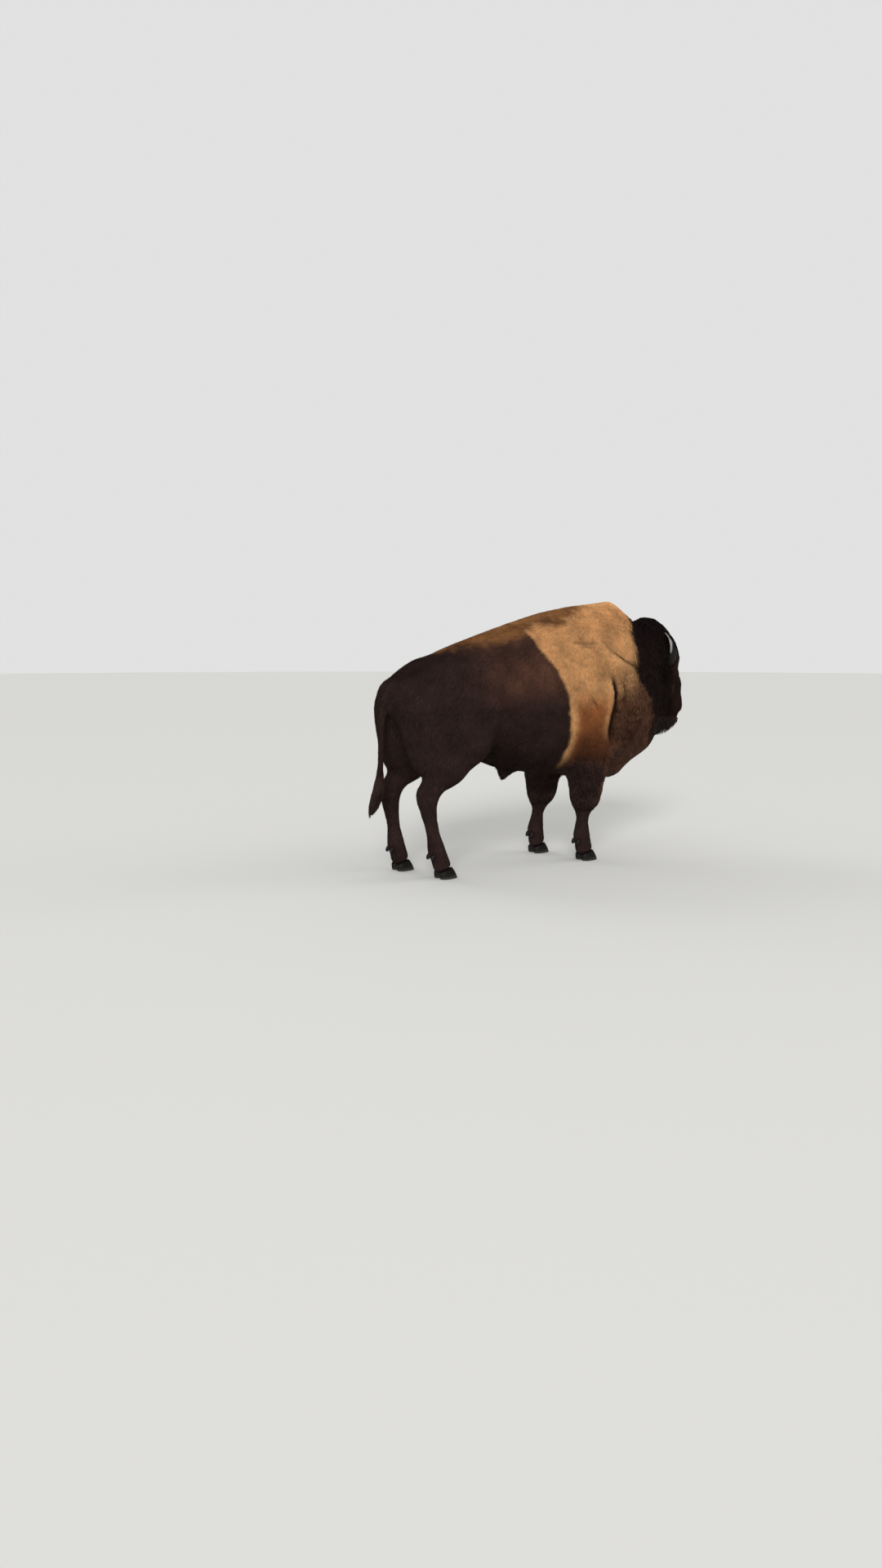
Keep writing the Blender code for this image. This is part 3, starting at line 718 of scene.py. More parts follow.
@dataclass(frozen=True)
class Face:
    """The modelled and bare parts of the face: lids, nostrils, lips and nose pad."""

    opening: tuple[float, float] = (0.0205, 0.0125)  # half the length and half the height between the lids
    eye_depth: float = 0.035
    eye_reach: float = 0.060
    lid: float = 0.0030
    lid_folds: tuple = ((1.22, 0.0014), (1.62, -0.0024), (2.05, 0.0012), (2.40, -0.0016))
    lips: tuple = (
        (0.552, 0.0, -0.118), (0.540, 0.045, -0.132), (0.500, 0.078, -0.150), (0.440, 0.088, -0.168),
        (0.395, 0.088, -0.180),
    )

    def model(self, mesh: Mesh) -> None:
        """Shapes the lids round the eyeballs, the nostrils, the lips and the folds of the face.

        Args:
            mesh: the skin, whose points move.
        """
        points = points_of(mesh)
        for side in SIDES.values():
            points = self.lids(points, side)
            points = self.nostril(points, side)
        move_points(mesh, points)
        move_points(mesh, self.mouth(points, normals_of(mesh)))

    def eye_ring(self, points: Array, side: int) -> tuple[Array, ...]:
        """Where each point lies round one eye.

        Args:
            points: places, one a row.
            side: 1 for the left eye, -1 for the right.

        Returns:
            How far out it is in openings of the lids, how far ahead of the eye's middle, and its squared
            distance from the line of sight.
        """
        half_long, half_high = self.opening
        along, high, out = HEAD.gaze(side)
        away = points - HEAD.place(HEAD.eye, side)
        a, b, ahead = away @ along, away @ high, away @ out
        ring = np.sqrt((a / half_long) ** 2 + ((b + 14 * side * a * a) / half_high) ** 2)
        return ring + 9 * (ahead < -self.eye_depth), ahead, a * a + b * b

    def lids(self, points: Array, side: int) -> Array:
        """Wraps the skin round one eyeball, with an almond opening between an upper and a lower lid.

        Args:
            points: places of the skin, one a row.
            side: 1 for the left eye, -1 for the right.

        Returns:
            The new places.
        """
        ring, ahead, radius2 = self.eye_ring(points, side)
        near = (ahead > -self.eye_depth) & (radius2 < self.eye_reach**2)
        inner = np.sqrt(np.maximum(HEAD.eyeball**2 - radius2, 0)) - 0.009
        lid = np.sqrt(np.maximum((HEAD.eyeball + self.lid) ** 2 - radius2, 0))
        for place, height in self.lid_folds:
            lid = lid + height * bump(ring, 0.17, place)
        goal = inner + (lid - inner) * smooth(0.88, 1.06, ring)
        goal = goal + (ahead - goal) * smooth(1.7, 2.9, ring)
        return points + HEAD.gaze(side)[2] * np.where(near, goal - ahead, 0.0)[:, None]

    @staticmethod
    def nostril(points: Array, side: int) -> Array:
        """Opens one nostril, a comma with a thick outer wing.

        Args:
            points: places of the skin, one a row.
            side: 1 for the left nostril, -1 for the right.

        Returns:
            The new places.
        """
        along, high, out = square_axes(HEAD.way(0.50, 0.60 * side, 0.67), HEAD.way(0.45, 0.75 * side, -0.60))
        away = points - HEAD.place(HEAD.nostril, side)
        a, b, o = away @ along, away @ high, away @ out
        bent = b + 11 * a * a * side  # the comma's curve
        ring = np.sqrt((a / 0.029) ** 2 + (bent / 0.0145) ** 2)
        near = (np.abs(o) < 0.045) & (a * a + b * b < 0.055**2)
        sunk = -0.030 * (1 - smooth(0.35, 1.02, ring)) + 0.0050 * bump(ring, 0.30, 1.35)
        return points + out * np.where(near, sunk, 0.0)[:, None]

    def mouth(self, points: Array, normals: Array) -> Array:
        """Draws the cleft between the lips, from the front of the muzzle back to the corners.

        Args:
            points: places of the skin, one a row.
            normals: the way out of the skin at each.

        Returns:
            The new places.
        """
        local = HEAD.local(points)
        local[:, 1] = np.abs(local[:, 1])
        gap = gap_to(local, self.lips)
        cleft = -0.0080 * bump(gap, 0.0045) + 0.0036 * bump(gap, 0.007, 0.013)
        cleft = cleft * (1 - smooth(0.035, 0.06, gap))
        u, v, w = local.T
        groove = bump(v, 0.0035) * smooth(0.50, 0.53, u) * smooth(-0.12, -0.10, w)
        bridge = bump(u, 0.010, 0.492) * (v < 0.075) * (w > -0.05)
        return points + normals * (cleft - 0.0035 * groove - 0.0025 * bridge)[:, None]

    def bareness(self, points: Array) -> Array:
        """Finds the bare skin: the nose pad, the nostrils' rims, the lips and the lids' rims.

        Args:
            points: places of the skin, one a row.

        Returns:
            How bare each is, from 0 to 1.
        """
        u, v, w = HEAD.local(points).T
        v = np.abs(v)
        pad = (v / 0.066) ** 2.6 + (np.abs(u - 0.540) / 0.044) ** 2.4 + (np.abs(w + 0.060) / 0.052) ** 2.4
        lips = bump(w + 0.120 + 0.16 * v, 0.011) * (v < 0.075) * (u > 0.48)
        rims = [1 - smooth(1.20, 1.55, self.eye_ring(points, side)[0]) for side in SIDES.values()]
        return np.maximum.reduce([1 - smooth(0.80, 1.12, pad), 0.9 * lips, *rims])

    def growing(self, points: Array) -> Array:
        """How thickly hair grows, from 0 to 1: none on the eyes, their lids' rims, the nose pad and lips."""
        grows = 1 - smooth(0.2, 0.6, self.bareness(points))
        for side in SIDES.values():
            grows = grows * smooth(1.28, 1.60, self.eye_ring(points, side)[0])
            nostril = HEAD.place(HEAD.nostril, side)
            grows = grows * smooth(0.022, 0.030, np.linalg.norm(points - nostril, axis=1))
        return grows


FACE = Face()


# ---------------------------------------------------------------- skin


@dataclass
class Hide:
    """The skin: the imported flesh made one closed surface, sunk by the coat's depth, with a modelled face."""

    voxel: float = 0.0155
    overlap: float = 0.001
    chart_gap: float = 0.02
    chart_width: float = 5.2
    mesh: Mesh = field(init=False)
    outline_mesh: Mesh = field(init=False)
    outline: BVHTree = field(init=False)
    parts: BVHTree = field(init=False)
    owners: list[str] = field(init=False)
    rough_labels: Array = field(init=False)
    ridge: Ridge = field(init=False)
    body_count: int = field(init=False)

    def build(self, finish: Material) -> Object:
        """Builds the skin and stores on it all that the coat and the finishes read.

        Args:
            finish: the skin's material.

        Returns:
            The skin's object.
        """
        points, faces, _ = joined(FLESH, self.overlap)
        self.fill_sockets(points, faces)
        rough = mesh_of("hide", points, faces)
        self.mesh = modified(rough, "REMESH", mode="VOXEL", voxel_size=self.voxel)
        self.outline_mesh = self.mesh.copy()
        rough_points = points_of(self.mesh)
        move_points(self.outline_mesh, Net.of(self.mesh).relaxed(rough_points, 3))
        self.outline = BVHTree.FromPolygons(
            [tuple(p) for p in rough_points], [tuple(f.vertices) for f in self.mesh.polygons]
        )
        points, faces, self.owners = joined(FLESH)
        self.parts = BVHTree.FromPolygons(points, faces)
        self.find_ridge()
        self.even_out()
        self.sink()
        self.refine_head()
        FACE.model(self.mesh)
        self.add_ears()
        self.describe()
        return dressed("hide", self.mesh, finish, Slot.BODY, *FLESH, *EARS)

    @staticmethod
    def fill_sockets(points: list, faces: list) -> None:
        """Adds a ball in each horn's socket, so that the skin closes round the horn.

        Args:
            points: the flesh's points, which get the balls' too.
            faces: its faces, which get the balls' too.
        """
        ball = bmesh.new()
        bmesh.ops.create_icosphere(ball, subdivisions=3, radius=HEAD.socket_radius)
        x, y, z = HEAD.socket
        for side in SIDES.values():
            start = len(points)
            points += [(x + v.co.x, side * y + v.co.y, z + v.co.z) for v in ball.verts]
            faces += [tuple(start + v.index for v in f.verts) for f in ball.faces]
        ball.free()

    def find_ridge(self) -> None:
        """Reads the height of the back along the body."""
        points = points_of(self.mesh)
        stations = np.linspace(-1.22, 1.0, 38)
        near = np.abs(points[:, 1]) < 0.05
        heights = []
        for x in stations:
            here = near & (np.abs(points[:, 0] - x) < 0.05)
            heights.append(points[here, 2].max() if here.any() else 0.0)
        self.ridge = lambda x: np.interp(x, stations, heights)

    def labels(self, points: Array) -> Array:
        """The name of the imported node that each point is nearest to."""
        return np.array([self.owners[self.parts.find_nearest(Vector(p))[2]] for p in points])

    def regions(self, points: Array, labels: Array) -> Array:
        """Finds the region of the coat that each point is in.

        Args:
            points: places of the skin, one a row.
            labels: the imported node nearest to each.

        Returns:
            A region's number for each point. Later rules go over earlier ones.
        """
        x, _, z = points.T
        u, v, w = HEAD.local(points).T
        masks = MARKINGS.masks(points, self.ridge)
        caped = masks["cape"] > 0.5
        trunk, head, beard = np.isin(labels, TRUNK), labels == "head", labels == "beard"
        upper = np.char.startswith(labels, "foreleg_upper")
        # how far down the face the bonnet's fringe comes
        fringe = 0.230 - 0.75 * np.abs(v) + 0.045 * wander(points, 0.028, 41)
        fringe = np.maximum(fringe, 0.135)
        found = np.full(len(points), int(Region.RUMP))
        for where, region in (
            (trunk, Region.FLANK),
            (trunk & caped, Region.CAPE),
            (trunk & (np.maximum(masks["mane"], masks["black"]) > 0.5), Region.MANE),
            (trunk & (x > 0.30) & (z < 0.86), Region.THROAT),
            (trunk & (x > 0.60) & (z < 1.02), Region.THROAT),
            (labels == "hindquarters", Region.RUMP),
            (head, Region.CHEEK),
            (head & (u < fringe) & (w > -0.27), Region.BONNET),
            (head & (u >= fringe) & (w > -0.15), Region.FACE),
            (head & (u >= 0.36) & (w > -0.24), Region.FACE),
            (beard, Region.BEARD),
            (beard & (w > -0.140) & (u < 0.566), Region.FACE),
            (labels == "tail", Region.TAIL),
            (labels == "tail_tuft", Region.TUFT),
            (upper, Region.CHAPS),
            (upper & caped & (masks["mane"] < 0.5) & (z > 0.70), Region.CAPE),
            (np.char.startswith(labels, "foreleg_lower"), Region.SHANK),
            (np.char.startswith(labels, "hindleg_lower"), Region.SHANK),
        ):
            found[where] = region
        return found

    def even_out(self) -> None:
        """Takes the flat facets off: most on the trunk, least on the thin legs and the tail."""
        points, net = points_of(self.mesh), Net.of(self.mesh)
        self.rough_labels = self.labels(points)
        share = np.full(len(points), 0.5)
        for start, amount in (
            ("head", 0.11), ("beard", 0.2), ("tail", 0.06), ("foreleg_lower", 0.06), ("hindleg_lower", 0.06),
            ("foreleg_upper", 0.22), ("hindleg_upper", 0.22),
        ):
            share[np.char.startswith(self.rough_labels, start)] = amount
        move_points(self.mesh, net.relaxed(points, 32, net.relaxed(share, 12)))

    def sink(self) -> None:
        """Moves the skin inwards until it lies below the coat's outline by the coat's depth.

        The beard is drawn up towards the jaw instead, because all of its lower part is hair.
        """
        points, net = points_of(self.mesh), Net.of(self.mesh)
        depth = by_region(lambda growth: growth.depth)[self.regions(points, self.rough_labels)]
        depth = net.relaxed(depth * (1 - 0.35 * HEAD.round_horns(points, 0.080)), 30)
        depth = depth + 0.022 * net.relaxed(MARKINGS.masks(points, self.ridge)["crease"], 1)
        beard = net.relaxed((self.rough_labels == "beard").astype(float), 6)
        jaw = 1.0 - 0.145 * (points[:, 0] - 0.941)  # the height of its lower edge at each x
        below = np.minimum(points[:, 2] - jaw, 0)
        points[:, 2] -= beard * 0.80 * below
        depth = depth * (1 - 0.9 * beard)
        for _ in range(4):
            move_points(self.mesh, points)
            short = np.zeros(len(points))
            for i, p in enumerate(points):
                place, normal, _, gap = self.outline.find_nearest(Vector(p))
                outwards = (Vector(p) - place).dot(normal) > 0
                short[i] = -depth[i] - (gap if outwards else -gap)
            short = net.relaxed(np.clip(short, -0.02, 0.01) * (1 - beard), 14)
            points = points + normals_of(self.mesh) * short[:, None] * 0.9
        move_points(self.mesh, net.relaxed(points, 2, 0.3))

    def refine_head(self) -> None:
        """Divides the faces of the head and the creases, then twice more round the eyes and the muzzle."""
        # how far round the eyes, and from which u and w on for the muzzle
        levels = ((0, 0, 0), (0.062, 0.43, -0.19), (0.042, 0.485, -0.145))
        for level, (eye_reach, muzzle_u, muzzle_w) in enumerate(levels):
            points = points_of(self.mesh)
            u, v, w = HEAD.local(points).T
            zone = (u > 0.12) & (w > -0.22) & (points[:, 2] > 0.93) & (np.abs(v) < 0.22)
            if level:
                fine = (u > muzzle_u) & (w > muzzle_w) & (np.abs(v) < 0.12)
                for side in SIDES.values():
                    fine |= np.linalg.norm(points - HEAD.place(HEAD.eye, side), axis=1) < eye_reach
                zone &= fine
            else:
                creased = MARKINGS.masks(points, self.ridge)["crease"] > 0.05
                zone |= creased & (points[:, 0] < 0.65)
            with edited(self.mesh) as work:
                work.verts.ensure_lookup_table()
                edges = [e for e in work.edges if zone[e.verts[0].index] and zone[e.verts[1].index]]
                bmesh.ops.subdivide_edges(work, edges=edges, cuts=1, use_grid_fill=True, smooth=0.0)
                bmesh.ops.triangulate(work, faces=[f for f in work.faces if len(f.verts) > 4])
            points = points_of(self.mesh)
            u, v, w = HEAD.local(points).T
            zone = (u > 0.10) & (w > -0.24) & (points[:, 2] > 0.92) & (np.abs(v) < 0.24)
            move_points(self.mesh, Net.of(self.mesh).relaxed(points, 4, 0.4 * zone))

    def add_ears(self) -> None:
        """Joins the ears to the skin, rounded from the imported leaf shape."""
        points, faces, _ = joined(EARS)
        ears = modified(mesh_of("ears", points, faces), "SUBSURF", levels=2, render_levels=2)
        self.body_count = len(self.mesh.vertices)
        with edited(self.mesh) as work:
            work.from_mesh(ears)

    def describe(self) -> None:
        """Stores the coat's fields on the skin: pieces, lie, length, lift, width, markings and an unwrap."""
        mesh, count = self.mesh, self.body_count
        mesh.shade_smooth()
        points, normals, net = points_of(mesh), normals_of(mesh), Net.of(mesh)
        labels = np.full(len(points), "ear_left", dtype="<U24")
        labels[:count] = self.labels(points[:count])
        region = np.full(len(points), int(Region.EAR))
        region[:count] = self.regions(points[:count], labels[:count])
        depth, length, width, cling, hang = (
            net.relaxed(by_region(lambda growth: getattr(growth, name))[region].astype(float), 14)
            for name in ("depth", "length", "width", "cling", "hang")
        )
        masks = MARKINGS.masks(points, self.ridge)
        crown = HEAD.round_horns(points, 0.085)
        under = self.under_belly(points, normals, net, region)
        creased = np.clip(2.5 * net.relaxed(masks["crease"], 5), 0, 1)
        lie = self.combed(points, normals, net, region, hang)
        sway = 0.5 * wander(points, 0.055, 21) + 0.35 * wander(points, 0.14, 22)
        lie = unit(lie + np.cross(normals, lie) * (0.55 * sway * smooth(0.008, 0.03, depth))[:, None])
        # the hair on the crown lies outwards and up, to cover the horns' roots
        sideways = np.outer(np.sign(points[:, 1]), (0.0, 1.0, 0.0)) + 0.25 * UP
        outwards = crown[:, None]
        lie = unit(lie * (1 - 0.45 * outwards) + 0.45 * outwards * flattened(sideways, normals))
        lie = unit(lie * (1 - 0.45 * np.minimum(under, 1)[:, None]) - 0.45 * np.outer(under, UP))
        length = length * (1 + 0.4 * crown) * (1 + 0.9 * under) * (1 - 0.5 * creased)
        depth = depth * (1 + 0.6 * under) * (1 - 0.5 * creased)
        length = self.reached(points, lie, length, region)
        clump = 1 + 0.30 * wander(points, 0.030, 23) + 0.15 * wander(points, 0.075, 24)
        bulge = 0.032 * HEAD.round_horns(points, 0.080)
        limbs = np.isin(region, LEGS_AND_TAIL)
        masks["cape"] = masks["cape"] * (1 - net.relaxed(limbs.astype(float), 14))
        for name, values in {
            "lie": lie,
            "up": unit(net.relaxed(normals, 3)),
            "length": length * (1 + 0.2 * wander(points, 0.05, 25)),
            "width": width,
            "bulge": bulge,
            "lift": depth * 0.92 * clump + bulge,
            "cling": cling,
            "growth": FACE.growing(points) * (1 - 0.85 * masks["crease"]),
            "bare": FACE.bareness(points),
            **masks,
        }.items():
            store(mesh, name, values)
        self.set_pieces(points, region)
        self.unwrap(points, labels)

    @staticmethod
    def combed(
        points: Array, normals: Array, net: Net, region: Array, hang: Array
    ) -> Array:
        """Works out which way the hair lies.

        Args:
            points: places of the skin, one a row.
            normals: the way out of the skin at each.
            net: the skin's edges.
            region: the number of each point's region.
            hang: how much of the lie is straight, not along the skin.

        Returns:
            A direction for each point.
        """
        u, v, _ = HEAD.local(points).T
        ways = by_region(lambda growth: (-growth.way[0], 0.0, -growth.way[1]))[region]
        # the bonnet and the face part from the middle, and the hair at the poll stands out
        parted = np.where(region == Region.BONNET, 0.55, 0.30) * np.clip(v / 0.12, -1, 1)
        face_ways = HEAD.down + np.outer(parted, (0.0, 1.0, 0.0)) + 0.25 * HEAD.out * (u < 0.02)[:, None]
        on_head = np.isin(region, (Region.BONNET, Region.FACE))
        ways[on_head] = face_ways[on_head]
        ear = region == Region.EAR
        ways[ear] = (-0.30, 0.0, -0.30) + np.outer(np.sign(points[ear, 1]), (0.0, 0.90, 0.0))
        topness = (smooth(0.40, 0.85, normals[:, 2]) * np.isin(region, TOPS))[:, None]
        ways = unit(ways) * (1 - topness) + topness * (BACK + np.outer(2.5 * points[:, 1], (0, 1, 0)))
        ways = unit(net.relaxed(unit(ways), 12))
        lie = unit(net.relaxed(unit(flattened(ways, normals) + 0.05 * ways), 6))
        return unit(lie * (1 - hang[:, None]) + ways * hang[:, None])

    @staticmethod
    def under_belly(points: Array, normals: Array, net: Net, region: Array) -> Array:
        """Finds the fringe under the belly, and the tuft of the sheath.

        Args:
            points: places of the skin, one a row.
            normals: the way out of the skin at each.
            net: the skin's edges.
            region: the number of each point's region.

        Returns:
            How much the hair hangs at each point, from 0 to 1, and to 1.2 at the sheath.
        """
        x, y, z = points.T
        under = smooth(0.25, 0.75, -normals[:, 2]) * (region == Region.FLANK) * smooth(-0.62, -0.40, x)
        sheath = np.exp(-((x + 0.29) / 0.06) ** 2 - (y / 0.06) ** 2) * (z < 0.66)  # 60 mm round its middle
        return np.maximum(net.relaxed(under, 3), 1.2 * sheath)

    def reached(self, points: Array, lie: Array, length: Array, region: Array) -> Array:
        """Cuts the hair that hangs to end at the coat's outline.

        Args:
            points: places of the skin, one a row.
            lie: the way the hair lies at each.
            length: its length.
            region: the number of the region.

        Returns:
            The new lengths.
        """
        cut = length.copy()
        for i in np.flatnonzero(np.isin(region, HANGING)):
            hit = self.outline.ray_cast(Vector(points[i] + 0.004 * lie[i]), Vector(lie[i]))
            if hit[0] is not None:
                cut[i] = min(max(hit[3] * 1.03, 0.045), length[i])
        return cut

    def set_pieces(self, points: Array, region: Array) -> None:
        """Gives each face the number of its coat piece: twice its region's, and 1 more on a left half.

        Args:
            points: places of the skin, one a row.
            region: the number of each point's region.
        """
        mesh = self.mesh
        first = gathered(mesh.loops, "vertex_index")[gathered(mesh.polygons, "loop_start")]
        left = points[first, 1] > 0
        piece = region[first] * 2 + left * by_region(lambda growth: growth.sided)[region[first]]
        attribute = mesh.attributes.new("piece", "INT", "FACE")
        attribute.data.foreach_set("value", piece.astype(np.int32))

    def unwrap(self, points: Array, labels: Array) -> None:
        """Lays the skin's faces out flat, in the UV map "hide_map".

        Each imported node's share of the skin is cut into six charts by the way its faces look, and the charts
        are laid side by side in rows.

        Args:
            points: places of the skin, one a row.
            labels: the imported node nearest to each.
        """
        mesh = self.mesh
        corners = gathered(mesh.loops, "vertex_index")
        first = corners[gathered(mesh.polygons, "loop_start")]
        normals = gathered(mesh.polygons, "normal", 3, np.float32)
        axis = np.abs(normals).argmax(1)
        heading = axis * 2 + (normals[np.arange(len(axis)), axis] > 0)
        _, number = np.unique(labels, return_inverse=True)
        owner = np.repeat(np.arange(len(axis)), gathered(mesh.polygons, "loop_total"))
        chart = (number[first] * 6 + heading)[owner]
        keep = np.array([(1, 2), (0, 2), (0, 1)])[axis[owner]]
        place = np.take_along_axis(points[corners], keep, axis=1)
        boxes = []
        for name in np.unique(chart):
            mine = chart == name
            low = place[mine].min(0)
            boxes.append((mine, low, place[mine].max(0) - low))
        x, row, row_top = 0.0, 0.0, 0.0
        for mine, low, size in sorted(boxes, key=lambda box: -box[2][1]):
            if x + size[0] > self.chart_width:
                x, row = 0.0, row_top + self.chart_gap
            place[mine] += np.array((x, row)) - low
            x += size[0] + self.chart_gap
            row_top = max(row_top, row + size[1])
        scale = 0.96 / max(self.chart_width, row_top)
        layer = mesh.uv_layers.new(name="hide_map")
        layer.data.foreach_set("uv", (0.02 + place * scale).astype(np.float32).ravel())
        log.info("hide: unwrap of %d charts, %.1f by %.1f m", len(boxes), self.chart_width, row_top)


# ---------------------------------------------------------------- coat


def coat_tree() -> Tree:
    """The Geometry Nodes tree that grows one piece of the coat.

    Returns:
        The tree. It spreads points on the faces of one piece, puts a lock on each along the lie of the coat,
        realizes them, lays them on the skin's curve, and stores a bake map on the skin's unwrap.
    """
    tree = bpy.data.node_groups.new("coat", "GeometryNodeTree")
    sockets = {
        "Skin": "Geometry", "Piece": "Int", "Spacing": "Float", "Turn": "Float", "Seed": "Int",
        "Locks": "Collection", "Lock Count": "Int", "Outline": "Object", "Proud": "Float",
        "Finish": "Material",
    }
    for name, kind in sockets.items():
        tree.interface.new_socket(name, in_out="INPUT", socket_type="NodeSocket" + kind)
    tree.interface.new_socket("Coat", in_out="OUTPUT", socket_type="NodeSocketGeometry")
    given = tree.nodes.new("NodeGroupInput").outputs
    node = partial(add_node, tree)
    stored = {
        name: node("GeometryNodeInputNamedAttribute", {"Name": name}, data_type=kind)
        for kind, names in (
            ("INT", ("piece",)),
            ("FLOAT", ("growth", "length", "width", "lift", "cling", "bulge", "shade")),
            ("FLOAT_VECTOR", ("lie", "up", "root", "strand", "hide_map")),
        )
        for name in names
    }
    place = node("GeometryNodeInputPosition")

    # random numbers for each lock, each with a stream of its own
    chance = {}
    ranges = {
        "shade": (0, 1), "turn": (-1, 1), "pitch": (-0.5, 0.5), "length": (0.70, 1.15), "width": (0.65, 1.25),
        "lift": (0.78, 1.06), "kind": (0, 0.9999),
    }
    for stream, (name, (low, high)) in enumerate(ranges.items(), start=1):
        seed = node(MATHS, (given["Seed"], stream), operation="ADD")
        chance[name] = node("FunctionNodeRandomValue", {2: low, 3: high, "Seed": seed}, data_type="FLOAT")

    # points on this piece's faces
    ours = {2: stored["piece"], 3: given["Piece"]}
    ours = node("FunctionNodeCompare", ours, data_type="INT", operation="EQUAL")
    patch = {"Geometry": given["Skin"], "Selection": ours}
    patch = node("GeometryNodeSeparateGeometry", patch, domain="FACE")
    area = node(MATHS, (given["Spacing"], given["Spacing"]), operation="MULTIPLY")
    most = node(MATHS, (2.4, area), operation="DIVIDE")
    spots = {"Mesh": patch, "Distance Min": given["Spacing"], "Density Max": most,
             "Density Factor": stored["growth"], "Seed": given["Seed"]}
    points = node("GeometryNodeDistributePointsOnFaces", spots, distribute_method="POISSON")
    for name, value, kind in (("root", place, "FLOAT_VECTOR"), ("shade", chance["shade"], "FLOAT")):
        kept = {"Geometry": points, "Name": name, "Value": value}
        points = node("GeometryNodeStoreNamedAttribute", kept, data_type=kind, domain="POINT")

    # a lock on each point, turned along the lie
    facing = {"Primary Axis": stored["lie"], "Secondary Axis": stored["up"]}
    facing = node("FunctionNodeAxesToRotation", facing, primary_axis="X", secondary_axis="Z")
    swing = node(MATHS, (chance["turn"], given["Turn"]), operation="MULTIPLY")
    turn = node("ShaderNodeCombineXYZ", {"X": chance["pitch"], "Z": swing})
    turn = node("FunctionNodeEulerToRotation", {"Euler": turn})
    turned = {"Rotation": facing, "Rotate By": turn}
    turned = node("FunctionNodeRotateRotation", turned, rotation_space="LOCAL")
    size = [node(MATHS, (stored[k], chance[k]), operation="MULTIPLY") for k in ("length", "width", "lift")]
    locks = node("GeometryNodeCollectionInfo",
                 {"Collection": given["Locks"], "Separate Children": True, "Reset Children": True})
    pick = node(MATHS, (chance["kind"], given["Lock Count"]), operation="MULTIPLY")
    grown = node("GeometryNodeInstanceOnPoints", {
        "Points": points, "Instance": locks, "Pick Instance": True,
        "Instance Index": node(MATHS, (pick,), operation="FLOOR"), "Rotation": turned,
        "Scale": node("ShaderNodeCombineXYZ", size),
    })
    grown = node("GeometryNodeRealizeInstances", {"Geometry": grown})

    # each place keeps its height over the lock's root, but over the skin that is below it
    away = node(VECTORS, (place, stored["root"]), operation="SUBTRACT")
    height = node(VECTORS, (away, stored["up"]), "Value", operation="DOT_PRODUCT")
    drop = node(VECTORS, {0: stored["up"], 3: height}, operation="SCALE")
    level = node(VECTORS, (place, drop), operation="SUBTRACT")
    skin_place, skin_up = (
        node(NEAREST, {"Mesh": given["Skin"], "Value": v, "Sample Position": level}, data_type="FLOAT_VECTOR")
        for v in (place, stored["up"])
    )
    skin_up = node(VECTORS, (skin_up,), operation="NORMALIZE")
    raised = node(VECTORS, {0: skin_up, 3: height}, operation="SCALE")
    clung = node(VECTORS, (skin_place, raised), operation="ADD")
    laid = node(MIX, {0: stored["cling"], 4: place, 5: clung}, data_type="VECTOR")
    grown = node("GeometryNodeSetPosition", {"Geometry": grown, "Position": laid})

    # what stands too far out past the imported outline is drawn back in
    outline = node("GeometryNodeObjectInfo", {"Object": given["Outline"]}, "Geometry")
    edge, edge_up = (
        node(NEAREST, {"Mesh": outline, "Value": v}, data_type="FLOAT_VECTOR")
        for v in (place, node("GeometryNodeInputNormal"))
    )
    edge_up = node(VECTORS, (edge_up,), operation="NORMALIZE")
    beyond = node(VECTORS, (place, edge), operation="SUBTRACT")
    beyond = node(VECTORS, (beyond, edge_up), "Value", operation="DOT_PRODUCT")
    allowed = node(MATHS, (stored["bulge"], 0.002), operation="SUBTRACT")
    allowed = node(MATHS, (stored["shade"], given["Proud"], allowed), operation="MULTIPLY_ADD")
    beyond = node(MATHS, (beyond, allowed), operation="SUBTRACT")
    beyond = node(MATHS, (beyond, 0.0), operation="MAXIMUM")
    back = node(MATHS, (beyond, -0.9), operation="MULTIPLY")
    inwards = node(VECTORS, {0: edge_up, 3: back}, operation="SCALE")
    grown = node("GeometryNodeSetPosition", {"Geometry": grown, "Offset": inwards})

    patch_place = node(VECTORS, {0: stored["strand"], 3: BAKE_PATCH}, operation="SCALE")
    baked = {"Geometry": grown, "Name": "OFBake",
             "Value": node(VECTORS, (stored["hide_map"], patch_place), operation="ADD")}
    grown = node("GeometryNodeStoreNamedAttribute", baked, data_type="FLOAT2", domain="CORNER")
    grown = node("GeometryNodeSetMaterial", {"Geometry": grown, "Material": given["Finish"]})
    node("NodeGroupOutput", {"Coat": grown})
    return tree


